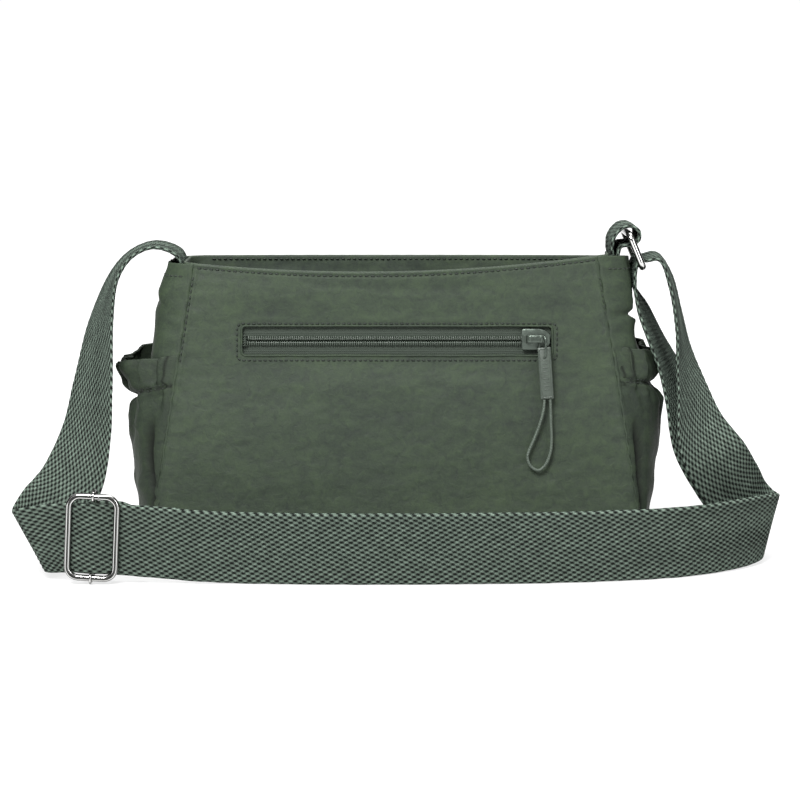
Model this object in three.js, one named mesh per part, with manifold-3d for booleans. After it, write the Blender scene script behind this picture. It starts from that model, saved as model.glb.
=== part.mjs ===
// Small soft crossbody purse: a lofted nylon bag with a front zip pocket, a recessed top zip,
// two gathered side pockets and a webbing shoulder strap that lies on the floor in front of it.
// Millimetres, +Z up, +X to the wearer's right of the front, the front faces -Y.
// The origin is the centre of the base, on the surface that the bag stands on.

import * as THREE from 'three';
import { mergeVertices } from 'three/addons/utils/BufferGeometryUtils.js';
import Module from 'manifold-3d';

const wasm = await Module();
wasm.setup();

// ---- driving dimensions -------------------------------------------------------------------

const GAP = 0.3;                      // clearance between pieces that touch

const BAG_HEIGHT = 165;
const HALF_WIDTH_BASE = 138;
const HALF_WIDTH_RIM = 111.5;
const HALF_DEPTH_BASE = 50;
const HALF_DEPTH_RIM = 28;
const PANEL_THICK = 1.4;
const GUSSET_THICK = 1.5;
const BASE_THICK = 1.8;
const RIM_SAG = 161.6;                // height of the front rim at its middle
const RIM_CORNER_RISE = 6.71;         // the rim's corners stand this far above its middle
const RIM_TILT = 2.26;                // and the right corner is higher by this, the left lower
const BACK_RIM = 166;
const BULGE_TOP = 18.5;               // how far the left gusset swells past the front panel's edge
const BULGE_TOP_RIGHT = 17.5;
const BULGE_BASE = 1.5;

const POCKET_THICK = 1.2;
const POCKET_RIM = { left: [107, 115], right: [114, 120] };   // at mid-depth, at the seams
const ELASTIC_WIDTH = 8;

const ZIP_HEIGHT = 123.2;             // the front zip's centre line above the base
const ZIP_CENTRE_X = 0.3;
const ZIP_OPENING = [169, 14.6];      // window inside the binding
const WELT_WIDTH = 1.6;
const TAPE_THICK = 0.6;
const COIL_WIDTH = 2.2;
const COIL_THICK = 1.5;
const COIL_GAP = 2.0;                 // the slider's post runs between the two coils
const SLIDER_X = 76.6;
const SLIDER_LENGTH = 15.6;
const SLIDER_WIDTH = 12.4;
const WIRE_LINK = 1.3;
const LINK_X = 80.2;
const TAB_SIZE = [7.2, 28.4, 2.2];
const PULL_CORD = 1.45;

const TOP_ZIP_HEIGHT = 147.5;
const LEAF_HINGE_Y = 27;
const LEAF_LEFT = -98;
const LEAF_RIGHT = 94;
const TOP_SLIDER_X = 103;
const ZIP_END = 113.5;                // the fixed ends of the top zip reach this far from the middle

const WEBBING_WIDTH = 38;
const WEBBING_THICK = 2.0;
const RING_WIRE = 3.8;
const RING_TOP = [128.8, 180.5];      // X and Z of the ring's upper bar
const RING_FOOT = [136.4, 162.5];     // X and Z of its lower bar
const RING_LENGTH = 43.5;             // between the centre lines of its two short sides
const ADJUSTER_X = -161.6;
const ADJUSTER_Y = -92;
const ADJUSTER_WIRE = 3.4;
const ADJUSTER_SIZE = [25.6, 44.1];   // centre lines of the frame's sides
const ADJUSTER_HEIGHT = 25.6;
const ADJUSTER_LEAN = 0.052;          // its top leans this many radians to the right
const HOOK_WIRE = 1.4;
const ADJUSTER_BAR = 2.8;
const STRAP_LIFT = 5.5;               // the strap's lower edge stands this high at the adjuster
const RUN_SLOPE = -0.022;             // the front run drifts this much in Y for each unit of X

// ---- colours ------------------------------------------------------------------------------

const NYLON = { color: 0x3c4a3e, roughness: 0.72, metalness: 0 };
const NYLON_DARK = { color: 0x2f3a31, roughness: 0.8, metalness: 0 };
const LINING = { color: 0x39443b, roughness: 0.85, metalness: 0 };
const WEBBING = { color: 0x4a5b4d, roughness: 0.9, metalness: 0 };
const ZIP_TAPE = { color: 0x374439, roughness: 0.85, metalness: 0 };
const COIL = { color: 0x3a463c, roughness: 0.45, metalness: 0 };
const SLIDER = { color: 0x59665b, roughness: 0.35, metalness: 0.7 };
const PULL = { color: 0x4c5a4f, roughness: 0.5, metalness: 0 };
const NICKEL = { color: 0xc9c9c6, roughness: 0.18, metalness: 1 };

const purse = new THREE.Group();

function add(parent, name, geometry, look) {
  const mesh = new THREE.Mesh(geometry, new THREE.MeshStandardMaterial(look));
  mesh.name = name;
  parent.add(mesh);
  return mesh;
}

// ---- the bag's own shape ------------------------------------------------------------------

const mix = (a, b, t) => a + (b - a) * t;

function smooth(t) {
  const s = Math.min(Math.max(t, 0), 1);
  return s * s * (3 - 2 * s);
}

const halfWidth = (z) => mix(HALF_WIDTH_BASE, HALF_WIDTH_RIM, z / BAG_HEIGHT);
const halfDepth = (z) => mix(HALF_DEPTH_BASE, HALF_DEPTH_RIM, z / BAG_HEIGHT);
const LEAN = Math.atan((HALF_DEPTH_BASE - HALF_DEPTH_RIM) / BAG_HEIGHT);
const slant = (z) => z / Math.cos(LEAN);

function bulge(z, side) {
  const top = side > 0 ? BULGE_TOP_RIGHT : BULGE_TOP;
  return mix(BULGE_BASE, top, smooth((z - 5) / 120));
}

// how far the gusset's outer face stands from the middle plane at depth y and height z
function gussetReach(y, z, side) {
  const across = Math.min(Math.abs(y) / halfDepth(z), 1);
  return halfWidth(z) + bulge(z, side) * (1 - across ** 5);
}

function frontRim(x) {
  const share = x / HALF_WIDTH_RIM;
  return RIM_SAG + RIM_CORNER_RISE * share * share + RIM_TILT * share;
}

// ---- solids from code ---------------------------------------------------------------------

// A closed solid from points and faces; its faces are turned out if they came out inside.
function solid(points, faces) {
  let volume = 0;
  for (const [a, b, c] of faces) {
    volume += points[a].dot(new THREE.Vector3().crossVectors(points[b], points[c])) / 6;
  }
  const order = volume < 0 ? faces.map(([a, b, c]) => [a, c, b]) : faces;
  const geometry = new THREE.BufferGeometry();
  const flatList = points.flatMap((p) => p.toArray());
  geometry.setAttribute('position', new THREE.Float32BufferAttribute(flatList, 3));
  geometry.setIndex(order.flat());
  return mergeVertices(geometry, 1e-4);
}

// A sheet with thickness: outer(u, v) and inner(u, v) are its two faces, u and v from 0 to 1.
function sheet(across, along, outer, inner) {
  const points = [];
  for (const face of [outer, inner]) {
    for (let j = 0; j <= along; j += 1) {
      for (let i = 0; i <= across; i += 1) points.push(face(i / across, j / along));
    }
  }
  const layer = (across + 1) * (along + 1);
  const at = (face, i, j) => face * layer + j * (across + 1) + i;
  const faces = [];
  const quad = (a, b, c, d) => faces.push([a, b, c], [a, c, d]);
  for (let j = 0; j < along; j += 1) {
    for (let i = 0; i < across; i += 1) {
      quad(at(0, i, j), at(0, i + 1, j), at(0, i + 1, j + 1), at(0, i, j + 1));
      quad(at(1, i, j), at(1, i, j + 1), at(1, i + 1, j + 1), at(1, i + 1, j));
    }
  }
  for (let i = 0; i < across; i += 1) {
    quad(at(0, i, 0), at(1, i, 0), at(1, i + 1, 0), at(0, i + 1, 0));
    quad(at(0, i, along), at(0, i + 1, along), at(1, i + 1, along), at(1, i, along));
  }
  for (let j = 0; j < along; j += 1) {
    quad(at(0, 0, j), at(0, 0, j + 1), at(1, 0, j + 1), at(1, 0, j));
    quad(at(0, across, j), at(1, across, j), at(1, across, j + 1), at(0, across, j + 1));
  }
  return solid(points, faces);
}

// Closed rings of equal length joined in order: a tray or a tube, capped or closed on itself.
function loft(rings, closed) {
  const points = rings.flat();
  const size = rings[0].length;
  const faces = [];
  const last = closed ? rings.length : rings.length - 1;
  for (let j = 0; j < last; j += 1) {
    const next = (j + 1) % rings.length;
    for (let i = 0; i < size; i += 1) {
      const k = (i + 1) % size;
      faces.push([j * size + i, j * size + k, next * size + k]);
      faces.push([j * size + i, next * size + k, next * size + i]);
    }
  }
  if (!closed) {
    for (const [ring, turn] of [[0, 1], [rings.length - 1, -1]]) {
      const centre = new THREE.Vector3();
      rings[ring].forEach((p) => centre.addScaledVector(p, 1 / size));
      points.push(centre);
      const hub = points.length - 1;
      for (let i = 0; i < size; i += 1) {
        const a = ring * size + i;
        const b = ring * size + ((i + 1) % size);
        faces.push(turn > 0 ? [hub, b, a] : [hub, a, b]);
      }
    }
  }
  return solid(points, faces);
}

// A rounded rectangle in plan; height(x, y) sets each point's height.
function roundedRing(halfX, front, back, radius, height) {
  const ring = [];
  const steps = 5;
  const corners = [[1, 1], [-1, 1], [-1, -1], [1, -1]];
  corners.forEach(([sx, sy], corner) => {
    const edge = sy > 0 ? back : front;
    for (let i = 0; i <= steps; i += 1) {
      const angle = (corner + i / steps) * Math.PI / 2;
      const x = sx * (halfX - radius) + radius * Math.cos(angle);
      const y = sy * (edge - radius) + radius * Math.sin(angle);
      ring.push(new THREE.Vector3(x, y, height(x, y)));
    }
  });
  return ring;
}

// A wire bent into a closed loop: centre points, the loop plane's normal, wire diameter.
function wireLoop(centres, normal, diameter, sides) {
  const rings = centres.map((point, i) => {
    const before = centres[(i + centres.length - 1) % centres.length];
    const after = centres[(i + 1) % centres.length];
    const along = new THREE.Vector3().subVectors(after, before).normalize();
    const outward = new THREE.Vector3().crossVectors(along, normal).normalize();
    return Array.from({ length: sides }, (_, k) => {
      const angle = (k / sides) * Math.PI * 2;
      return point.clone()
        .addScaledVector(outward, Math.cos(angle) * diameter / 2)
        .addScaledVector(normal, Math.sin(angle) * diameter / 2);
    });
  });
  return loft(rings, true);
}

// Centre points of a rounded rectangle in the plane of two unit vectors.
function roundedLoop(centre, sideA, halfA, sideB, halfB, radius, steps) {
  const points = [];
  [[1, 1], [-1, 1], [-1, -1], [1, -1]].forEach(([sa, sb], corner) => {
    for (let i = 0; i <= steps; i += 1) {
      const angle = (corner + i / steps) * Math.PI / 2;
      points.push(centre.clone()
        .addScaledVector(sideA, sa * (halfA - radius) + radius * Math.cos(angle))
        .addScaledVector(sideB, sb * (halfB - radius) + radius * Math.sin(angle)));
    }
  });
  return points;
}

// A round outline with the given number of sides, for a shape or a hole.
function polygon(target, radius, sides) {
  target.moveTo(radius, 0);
  for (let k = 1; k < sides; k += 1) {
    const angle = (k / sides) * Math.PI * 2;
    target.lineTo(Math.cos(angle) * radius, Math.sin(angle) * radius);
  }
  target.closePath();
  return target;
}

// A round cord or rod along a curve.
function rod(points, diameter, sides, steps) {
  const section = polygon(new THREE.Shape(), diameter / 2, sides);
  const path = new THREE.CatmullRomCurve3(points);
  return new THREE.ExtrudeGeometry(section, { extrudePath: path, steps, bevelEnabled: false });
}

// Webbing: each key gives the near edge and the far edge; the flat band runs through them all.
function webbing(keys, spanSteps = 2) {
  const edgeCurve = (edge) => {
    const points = keys.map((key) => new THREE.Vector3(...key[edge]));
    return new THREE.CatmullRomCurve3(points, false, 'centripetal');
  };
  const nearEdge = edgeCurve(0);
  const farEdge = edgeCurve(1);
  const count = (keys.length - 1) * spanSteps;
  const sections = Array.from({ length: count + 1 }, (_, i) => i / count);
  const ends = sections.map((t) => [nearEdge.getPoint(t), farEdge.getPoint(t)]);
  const middles = ends.map(([a, b]) => a.clone().lerp(b, 0.5));
  const rings = ends.map(([a, b], i) => {
    const before = middles[Math.max(i - 1, 0)];
    const after = middles[Math.min(i + 1, middles.length - 1)];
    const along = new THREE.Vector3().subVectors(after, before);
    const width = new THREE.Vector3().subVectors(b, a).normalize();
    const face = new THREE.Vector3().crossVectors(along, width).normalize();
    const lift = face.multiplyScalar(WEBBING_THICK / 2);
    const reach = width.multiplyScalar(WEBBING_WIDTH / 2);
    const m = middles[i];
    return [
      m.clone().sub(reach).add(lift),
      m.clone().add(reach).add(lift),
      m.clone().add(reach).sub(lift),
      m.clone().sub(reach).sub(lift),
    ];
  });
  return loft(rings, false);
}

// Several closed solids joined into one.
function join(geometries) {
  const whole = geometries.map((geometry) => {
    const bare = new THREE.BufferGeometry();
    bare.setAttribute('position', geometry.getAttribute('position').clone());
    if (geometry.index) bare.setIndex(geometry.index.clone());
    const merged = mergeVertices(bare, 1e-4);
    return new wasm.Manifold(new wasm.Mesh({
      numProp: 3,
      vertProperties: merged.getAttribute('position').array,
      triVerts: new Uint32Array(merged.index.array),
    }));
  }).reduce((sum, next) => sum.add(next));
  const mesh = whole.getMesh();
  const geometry = new THREE.BufferGeometry();
  geometry.setAttribute('position', new THREE.BufferAttribute(mesh.vertProperties, 3));
  geometry.setIndex(new THREE.BufferAttribute(mesh.triVerts, 1));
  return geometry;
}

function box(from, to) {
  const size = to.map((v, i) => v - from[i]);
  const geometry = new THREE.BoxGeometry(...size);
  geometry.translate(...from.map((v, i) => (v + to[i]) / 2));
  return geometry;
}

function rectangle(target, x0, y0, x1, y1) {
  target.moveTo(x0, y0);
  target.lineTo(x1, y0);
  target.lineTo(x1, y1);
  target.lineTo(x0, y1);
  target.closePath();
  return target;
}

function flat(shape, from, to, segments = 12) {
  const geometry = new THREE.ExtrudeGeometry(shape, {
    depth: to - from, bevelEnabled: false, curveSegments: segments,
  });
  geometry.translate(0, 0, from);
  return geometry;
}

// ---- panels, gussets and base -------------------------------------------------------------

// In a panel's group, x runs along the panel, y up its slope and z out of its outer face.
function panelGroup(turn) {
  const turned = new THREE.Group();
  turned.rotation.z = turn;
  const face = new THREE.Group();
  face.position.y = -HALF_DEPTH_BASE;
  face.rotation.x = Math.PI / 2 - LEAN;
  turned.add(face);
  purse.add(turned);
  return face;
}

function panelOutline(leftTop, rightTop, middleTop) {
  const foot = slant(BASE_THICK + GAP + 0.4);
  const footHalf = halfWidth(BASE_THICK);
  const shape = new THREE.Shape();
  shape.moveTo(-footHalf, foot);
  shape.lineTo(footHalf, foot);
  shape.lineTo(HALF_WIDTH_RIM, slant(rightTop));
  const pull = 2 * middleTop - (leftTop + rightTop) / 2;
  shape.quadraticCurveTo(0, slant(pull), -HALF_WIDTH_RIM, slant(leftTop));
  shape.closePath();
  return shape;
}

const zipSlant = slant(ZIP_HEIGHT);
const windowHalf = ZIP_OPENING.map((v) => v / 2);

function zipRectangle(target, grow) {
  return rectangle(
    target,
    ZIP_CENTRE_X - windowHalf[0] - grow, zipSlant - windowHalf[1] - grow,
    ZIP_CENTRE_X + windowHalf[0] + grow, zipSlant + windowHalf[1] + grow,
  );
}

const front = panelGroup(0);
const back = panelGroup(Math.PI);

function makePanels() {
  const outline = panelOutline(frontRim(-HALF_WIDTH_RIM), frontRim(HALF_WIDTH_RIM), RIM_SAG);
  outline.holes.push(zipRectangle(new THREE.Path(), WELT_WIDTH + GAP));
  add(front, 'front_panel', flat(outline, -PANEL_THICK, 0), NYLON);
  add(back, 'back_panel', flat(panelOutline(BACK_RIM, BACK_RIM, BACK_RIM), -PANEL_THICK, 0), NYLON);
}

function makeGusset(name, side) {
  const foot = BASE_THICK + GAP + 0.4;
  const frontTop = frontRim(side * HALF_WIDTH_RIM) - 0.5;
  const face = (inset) => (u, v) => {
    const rim = mix(frontTop, BACK_RIM, u);
    const z = mix(foot, rim, v);
    const edge = halfDepth(z) - PANEL_THICK - GAP - 0.2;
    const y = mix(-edge, edge, u);
    return new THREE.Vector3(side * (gussetReach(y, z, side) - inset), y, z);
  };
  add(purse, name, sheet(14, 8, face(0), face(GUSSET_THICK)), NYLON);
}

function makeBase() {
  const outline = new THREE.Shape();
  const edge = HALF_DEPTH_BASE - 1;
  const points = [];
  for (const side of [1, -1]) {
    for (let i = 0; i <= 10; i += 1) {
      const y = side * mix(-edge, edge, i / 10);
      points.push([side * gussetReach(y, BASE_THICK, side), y]);
    }
  }
  points.forEach(([x, y], i) => (i === 0 ? outline.moveTo(x, y) : outline.lineTo(x, y)));
  outline.closePath();
  add(purse, 'bottom_panel', flat(outline, 0, BASE_THICK), NYLON_DARK);
}

// the folded strip round the inside of the mouth, which the top zip is sewn to
function makeFacing() {
  const lower = TOP_ZIP_HEIGHT + 0.8;
  const levels = 3;
  const thick = 1;
  const ring = (share, inset) => {
    const top = (x, y) => (y < 0 ? frontRim(x) - 0.8 : BACK_RIM - 0.8);
    const heightAt = (x, y) => mix(lower, top(x, y), share);
    const depth = halfDepth(mix(lower, BAG_HEIGHT, share)) - PANEL_THICK - 2 * GAP - inset;
    return roundedRing(117.8 - inset, depth, depth, 10 - inset, heightAt);
  };
  const rings = [];
  for (let j = 0; j <= levels; j += 1) rings.push(ring(j / levels, 0));
  for (let j = levels; j >= 0; j -= 1) rings.push(ring(j / levels, thick));
  add(purse, 'rim_facing', loft(rings, true), NYLON_DARK);
}

// the loose inner bag, which leaves room for the front pocket's pouch
function makeLining() {
  const floor = BASE_THICK + 1.4;
  const top = 143;
  const thick = 0.8;
  const frontRoom = (z) => mix(9.4, 3.2, smooth((z - 133) / 9));
  const ring = (z, level, inset) => roundedRing(
    halfWidth(z) - 4 - inset, halfDepth(z) - frontRoom(z) - inset, halfDepth(z) - 3 - inset,
    10 - inset, () => level,
  );
  const levels = [floor, 45, 90, 133, 135.5, 137.5, 139.5, 142, top];
  const rings = levels.map((z) => ring(z, z, 0));
  levels.slice().reverse().forEach((z) => rings.push(ring(z, Math.max(z, floor + thick), thick)));
  add(purse, 'lining', loft(rings, false), LINING);
}

// ---- side pockets -------------------------------------------------------------------------

// how far each pocket's outer face stands from the middle plane, at mid-depth, by height
const POCKET_PROFILE = {
  left: [
    [3, 141.8], [12, 142.6], [25, 144], [42, 147.5], [60, 149.2], [78, 148.4], [89, 145.5], [98, 150],
    [107, 155],
  ],
  right: [
    [3, 141.8], [12, 141.6], [26, 141.6], [44, 146.2], [66, 148], [86, 147.2], [96, 143.6], [105, 145.4],
    [114, 144.8],
  ],
};

function profileAt(profile, z) {
  const last = profile.length - 1;
  const i = Math.min(Math.max(profile.findIndex(([level]) => level > z), 1), last) - 1;
  const upper = z >= profile[last][0] ? last - 1 : i;
  const [z0, x0] = profile[upper];
  const [z1, x1] = profile[upper + 1];
  return mix(x0, x1, smooth(Math.min((z - z0) / (z1 - z0), 1)));
}

function pocketReach(y, z, side, label) {
  const profile = POCKET_PROFILE[label];
  const across = Math.min(Math.abs(y) / halfDepth(z), 1);
  const seam = 2.2;
  const level = Math.min(z, POCKET_RIM[label][0]);
  const room = profileAt(profile, level) - gussetReach(0, level, side) - seam;
  return gussetReach(y, z, side) + seam + Math.max(room, 0) * (1 - across ** 2.5);
}

function makePocket(label, side) {
  const profile = POCKET_PROFILE[label];
  const foot = BASE_THICK + GAP + 0.6;
  const pocketFace = (inset) => (u, v) => {
    const across = 2 * u - 1;
    const rim = mix(...POCKET_RIM[label], across * across);
    const z = mix(foot, rim, v);
    const y = across * (halfDepth(z) - PANEL_THICK - 0.6);
    return new THREE.Vector3(side * (pocketReach(y, z, side, label) - inset), y, z);
  };
  add(purse, `${label}_pocket`, sheet(14, 22, pocketFace(0), pocketFace(POCKET_THICK)), NYLON);

  const centre = profile[6][0];
  const bandFace = (inset) => (u, v) => {
    const z = centre + (v - 0.5) * ELASTIC_WIDTH;
    const y = (2 * u - 1) * 0.78 * halfDepth(z);
    const narrow = profile[6][1] - gussetReach(0, centre, side) - 2.2;
    const across = Math.abs(y) / halfDepth(z);
    const reach = gussetReach(y, z, side) + 2.2 + narrow * (1 - across ** 2.5);
    return new THREE.Vector3(side * (reach - inset), y, z);
  };
  const outer = POCKET_THICK + 0.35;
  add(purse, `${label}_pocket_elastic`, sheet(10, 2, bandFace(outer), bandFace(outer + 0.7)), LINING);
}

// ---- front zip pocket ---------------------------------------------------------------------

const LAYER = {
  tapeFront: -2.0,
  coilFront: -0.2,
  sliderPlate: [0.1, 1.2],
  sliderBack: [-3.9, -2.9],
  pouchFront: -3.0,
  pouchBack: -8.5,
};

function makeFrontZip() {
  const binding = zipRectangle(new THREE.Shape(), WELT_WIDTH);
  binding.holes.push(zipRectangle(new THREE.Path(), 0));
  add(front, 'front_zip_binding', flat(binding, -PANEL_THICK, 0.6), NYLON);

  const reach = windowHalf[0] + 4;
  for (const [label, up] of [['upper', 1], ['lower', -1]]) {
    const inner = zipSlant + up * COIL_GAP / 2;
    const outer = zipSlant + up * (windowHalf[1] + 4.5);
    const tape = box(
      [ZIP_CENTRE_X - reach, Math.min(inner, outer), LAYER.tapeFront - TAPE_THICK],
      [ZIP_CENTRE_X + reach, Math.max(inner, outer), LAYER.tapeFront],
    );
    add(front, `front_zip_tape_${label}`, tape, ZIP_TAPE);
    const far = zipSlant + up * (COIL_GAP / 2 + COIL_WIDTH);
    const coil = box(
      [ZIP_CENTRE_X - windowHalf[0] + 2.4, Math.min(inner, far), LAYER.coilFront - COIL_THICK],
      [ZIP_CENTRE_X + windowHalf[0] - 0.4, Math.max(inner, far), LAYER.coilFront],
    );
    add(front, `front_zip_coil_${label}`, coil, COIL);
  }
  const stopLeft = ZIP_CENTRE_X - windowHalf[0] + 0.4;
  const stop = box(
    [stopLeft, zipSlant - 3.4, LAYER.coilFront - COIL_THICK],
    [stopLeft + 1.6, zipSlant + 3.4, LAYER.coilFront + 0.2],
  );
  add(front, 'front_zip_stop', stop, ZIP_TAPE);
}

// the flat cloth pouch behind the window, open towards it
function makeFrontPouch() {
  const half = windowHalf[0] + 5.5;
  const top = zipSlant + windowHalf[1] + 2.4;
  const bottom = slant(38);
  const wall = 0.8;
  const ring = (inset, depth) => [
    new THREE.Vector3(ZIP_CENTRE_X - half + inset, bottom + inset, depth),
    new THREE.Vector3(ZIP_CENTRE_X + half - inset, bottom + inset, depth),
    new THREE.Vector3(ZIP_CENTRE_X + half - inset, top - inset, depth),
    new THREE.Vector3(ZIP_CENTRE_X - half + inset, top - inset, depth),
  ];
  const rings = [
    ring(wall, LAYER.pouchBack + wall),
    ring(wall, LAYER.pouchFront),
    ring(0, LAYER.pouchFront),
    ring(0, LAYER.pouchBack),
  ];
  add(front, 'front_pocket_pouch', loft(rings, false), LINING);
}

// A zip slider in section: a top plate with turned-down edges, a post and a back plate.
function sliderBody(centre, middle, half, plate, backPlate) {
  const [faceLow, faceHigh] = plate;
  const [backLow, backHigh] = backPlate;
  const post = 0.6;
  const flange = 1.0;
  const drop = 1.7;
  const outline = new THREE.Shape();
  const corners = [
    [half, faceHigh], [half, faceLow - drop], [half - flange, faceLow - drop], [half - flange, faceLow],
    [post, faceLow], [post, backHigh], [half - 0.8, backHigh], [half - 0.8, backLow],
  ];
  const mirrored = corners.map(([x, y]) => [-x, y]).reverse();
  [...corners, ...mirrored].forEach(([x, y], i) => (i === 0 ? outline.moveTo(x, y) : outline.lineTo(x, y)));
  outline.closePath();
  const geometry = new THREE.ExtrudeGeometry(outline, { depth: SLIDER_LENGTH, bevelEnabled: false });
  geometry.translate(0, 0, -SLIDER_LENGTH / 2);
  geometry.rotateX(Math.PI / 2);
  geometry.rotateZ(Math.PI / 2);
  geometry.translate(centre, middle, 0);
  return geometry;
}

// the arched bar on a slider that carries its pull; x0 and x1 are its two feet
function sliderBridge(x0, x1, middle, foot, width) {
  const arch = new THREE.Shape();
  const rise = 4.0;
  const thick = 1.0;
  arch.moveTo(x0, foot);
  arch.lineTo(x0, foot + rise - 1.2);
  arch.quadraticCurveTo(x0, foot + rise, x0 + 1.4, foot + rise);
  arch.lineTo(x1 - 1.4, foot + rise);
  arch.quadraticCurveTo(x1, foot + rise, x1, foot + rise - 1.2);
  arch.lineTo(x1, foot);
  arch.lineTo(x1 - thick, foot);
  arch.lineTo(x1 - thick, foot + rise - 1.2);
  arch.lineTo(x0 + thick, foot + rise - 1.2);
  arch.lineTo(x0 + thick, foot);
  arch.closePath();
  const geometry = new THREE.ExtrudeGeometry(arch, { depth: width, bevelEnabled: false, curveSegments: 3 });
  geometry.translate(0, 0, -width / 2);
  geometry.rotateX(Math.PI / 2);
  geometry.translate(0, middle, 0);
  return geometry;
}

const BRIDGE_FOOT = LAYER.sliderPlate[1] + GAP;
const BRIDGE_BAR = BRIDGE_FOOT + 3.4;     // height of the bar that the link hangs on
const LINK_RADIUS = 2.45;
const LINK_FOOT = 7.4;                    // from the bar down to the link's lower curve
const TAB_TILT = THREE.MathUtils.degToRad(3.4);

function makeFrontSlider() {
  const middle = zipSlant;
  const body = sliderBody(SLIDER_X, middle, SLIDER_WIDTH / 2, LAYER.sliderPlate, LAYER.sliderBack);
  add(front, 'front_slider_body', body, SLIDER);
  const bridge = sliderBridge(SLIDER_X - 5.1, SLIDER_X + 5.7, middle, BRIDGE_FOOT, 3);
  add(front, 'front_slider_bridge', bridge, SLIDER);

  const link = [];
  const steps = 6;
  for (let i = 0; i <= steps; i += 1) {
    const angle = (i / steps) * Math.PI;
    const y = middle + LINK_RADIUS * Math.sin(angle);
    link.push(new THREE.Vector3(LINK_X, y, BRIDGE_BAR + LINK_RADIUS * Math.cos(angle)));
  }
  for (let i = 0; i <= steps; i += 1) {
    const angle = (i / steps) * Math.PI;
    const y = middle - LINK_FOOT - LINK_RADIUS * Math.sin(angle);
    link.push(new THREE.Vector3(LINK_X, y, BRIDGE_BAR - LINK_RADIUS * Math.cos(angle)));
  }
  add(front, 'front_pull_link', wireLoop(link, new THREE.Vector3(1, 0, 0), WIRE_LINK, 8), SLIDER);
}

// the moulded tab hangs on the link by a round hole and carries the cord loop
function makeFrontPull() {
  const [width, length, thick] = TAB_SIZE;
  const eye = new THREE.Group();
  eye.position.set(LINK_X, zipSlant - LINK_FOOT - LINK_RADIUS + 0.2, BRIDGE_BAR);
  eye.rotation.z = TAB_TILT;
  front.add(eye);
  const above = 6;
  const corner = 1;
  const shape = new THREE.Shape();
  shape.moveTo(-width / 2 + corner, above);
  shape.lineTo(width / 2 - corner, above);
  shape.lineTo(width / 2, above - corner);
  shape.lineTo(width / 2, above - length);
  shape.lineTo(-width / 2, above - length);
  shape.lineTo(-width / 2, above - corner);
  shape.closePath();
  shape.holes.push(polygon(new THREE.Path(), 1.7, 12));
  add(eye, 'front_pull_tab', flat(shape, -thick / 2, thick / 2, 5), PULL);

  // the loop leaves the tab's end, falls against the panel and comes back up
  const start = above - length - GAP;
  const lie = (drop) => mix(0, -2.8, smooth(drop / 30));
  const loop = [
    [-1.6, 0], [-2.3, 5], [-4.9, 13], [-9, 22], [-12, 28], [-12.8, 31], [-11.9, 35], [-9.6, 37.6],
    [-7, 38.4], [-3.6, 36.1], [-0.4, 30], [0.9, 23], [1.2, 13], [1.5, 5], [1.6, 0],
  ];
  const points = loop.map(([x, drop]) => new THREE.Vector3(x, start - drop, lie(drop)));
  add(eye, 'front_pull_cord', rod(points, PULL_CORD, 8, 36), PULL);
}

// ---- top zip ------------------------------------------------------------------------------

function makeTopZip() {
  const z = TOP_ZIP_HEIGHT;
  const coilEdge = COIL_GAP / 2 + COIL_WIDTH;
  const tapeBack = LAYER.tapeFront - TAPE_THICK;
  for (const [label, side] of [['front', -1], ['back', 1]]) {
    const leafPiece = (near, far, low, high) => box(
      [LEAF_LEFT, Math.min(side * near, side * far), z + low],
      [LEAF_RIGHT, Math.max(side * near, side * far), z + high],
    );
    add(purse, `top_leaf_${label}`, leafPiece(8.5, LEAF_HINGE_Y - 0.8, -0.5, 0.5), NYLON_DARK);
    add(purse, `top_zip_tape_${label}`, leafPiece(COIL_GAP / 2, 15, tapeBack, LAYER.tapeFront), ZIP_TAPE);
    const coil = leafPiece(COIL_GAP / 2, coilEdge, LAYER.coilFront - COIL_THICK, LAYER.coilFront);
    add(purse, `top_zip_coil_${label}`, coil, COIL);
  }

  // the fixed ends: the left one is whole, the right one is slotted for the parked slider's post
  const endHalf = LEAF_HINGE_Y - 4;
  const left = rectangle(new THREE.Shape(), -ZIP_END, -endHalf, LEAF_LEFT - 1, endHalf);
  const right = new THREE.Shape();
  const slotEnd = TOP_SLIDER_X + SLIDER_LENGTH / 2 + 0.6;
  const corners = [
    [LEAF_RIGHT + 1, COIL_GAP / 2], [slotEnd, COIL_GAP / 2], [slotEnd, -COIL_GAP / 2],
    [LEAF_RIGHT + 1, -COIL_GAP / 2], [LEAF_RIGHT + 1, -endHalf], [ZIP_END, -endHalf], [ZIP_END, endHalf],
    [LEAF_RIGHT + 1, endHalf],
  ];
  corners.forEach(([x, y], i) => (i === 0 ? right.moveTo(x, y) : right.lineTo(x, y)));
  right.closePath();
  add(purse, 'top_zip_end_left', flat(left, z + tapeBack, z + LAYER.tapeFront), ZIP_TAPE);
  add(purse, 'top_zip_end_right', flat(right, z + tapeBack, z + LAYER.tapeFront), ZIP_TAPE);
}

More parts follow.
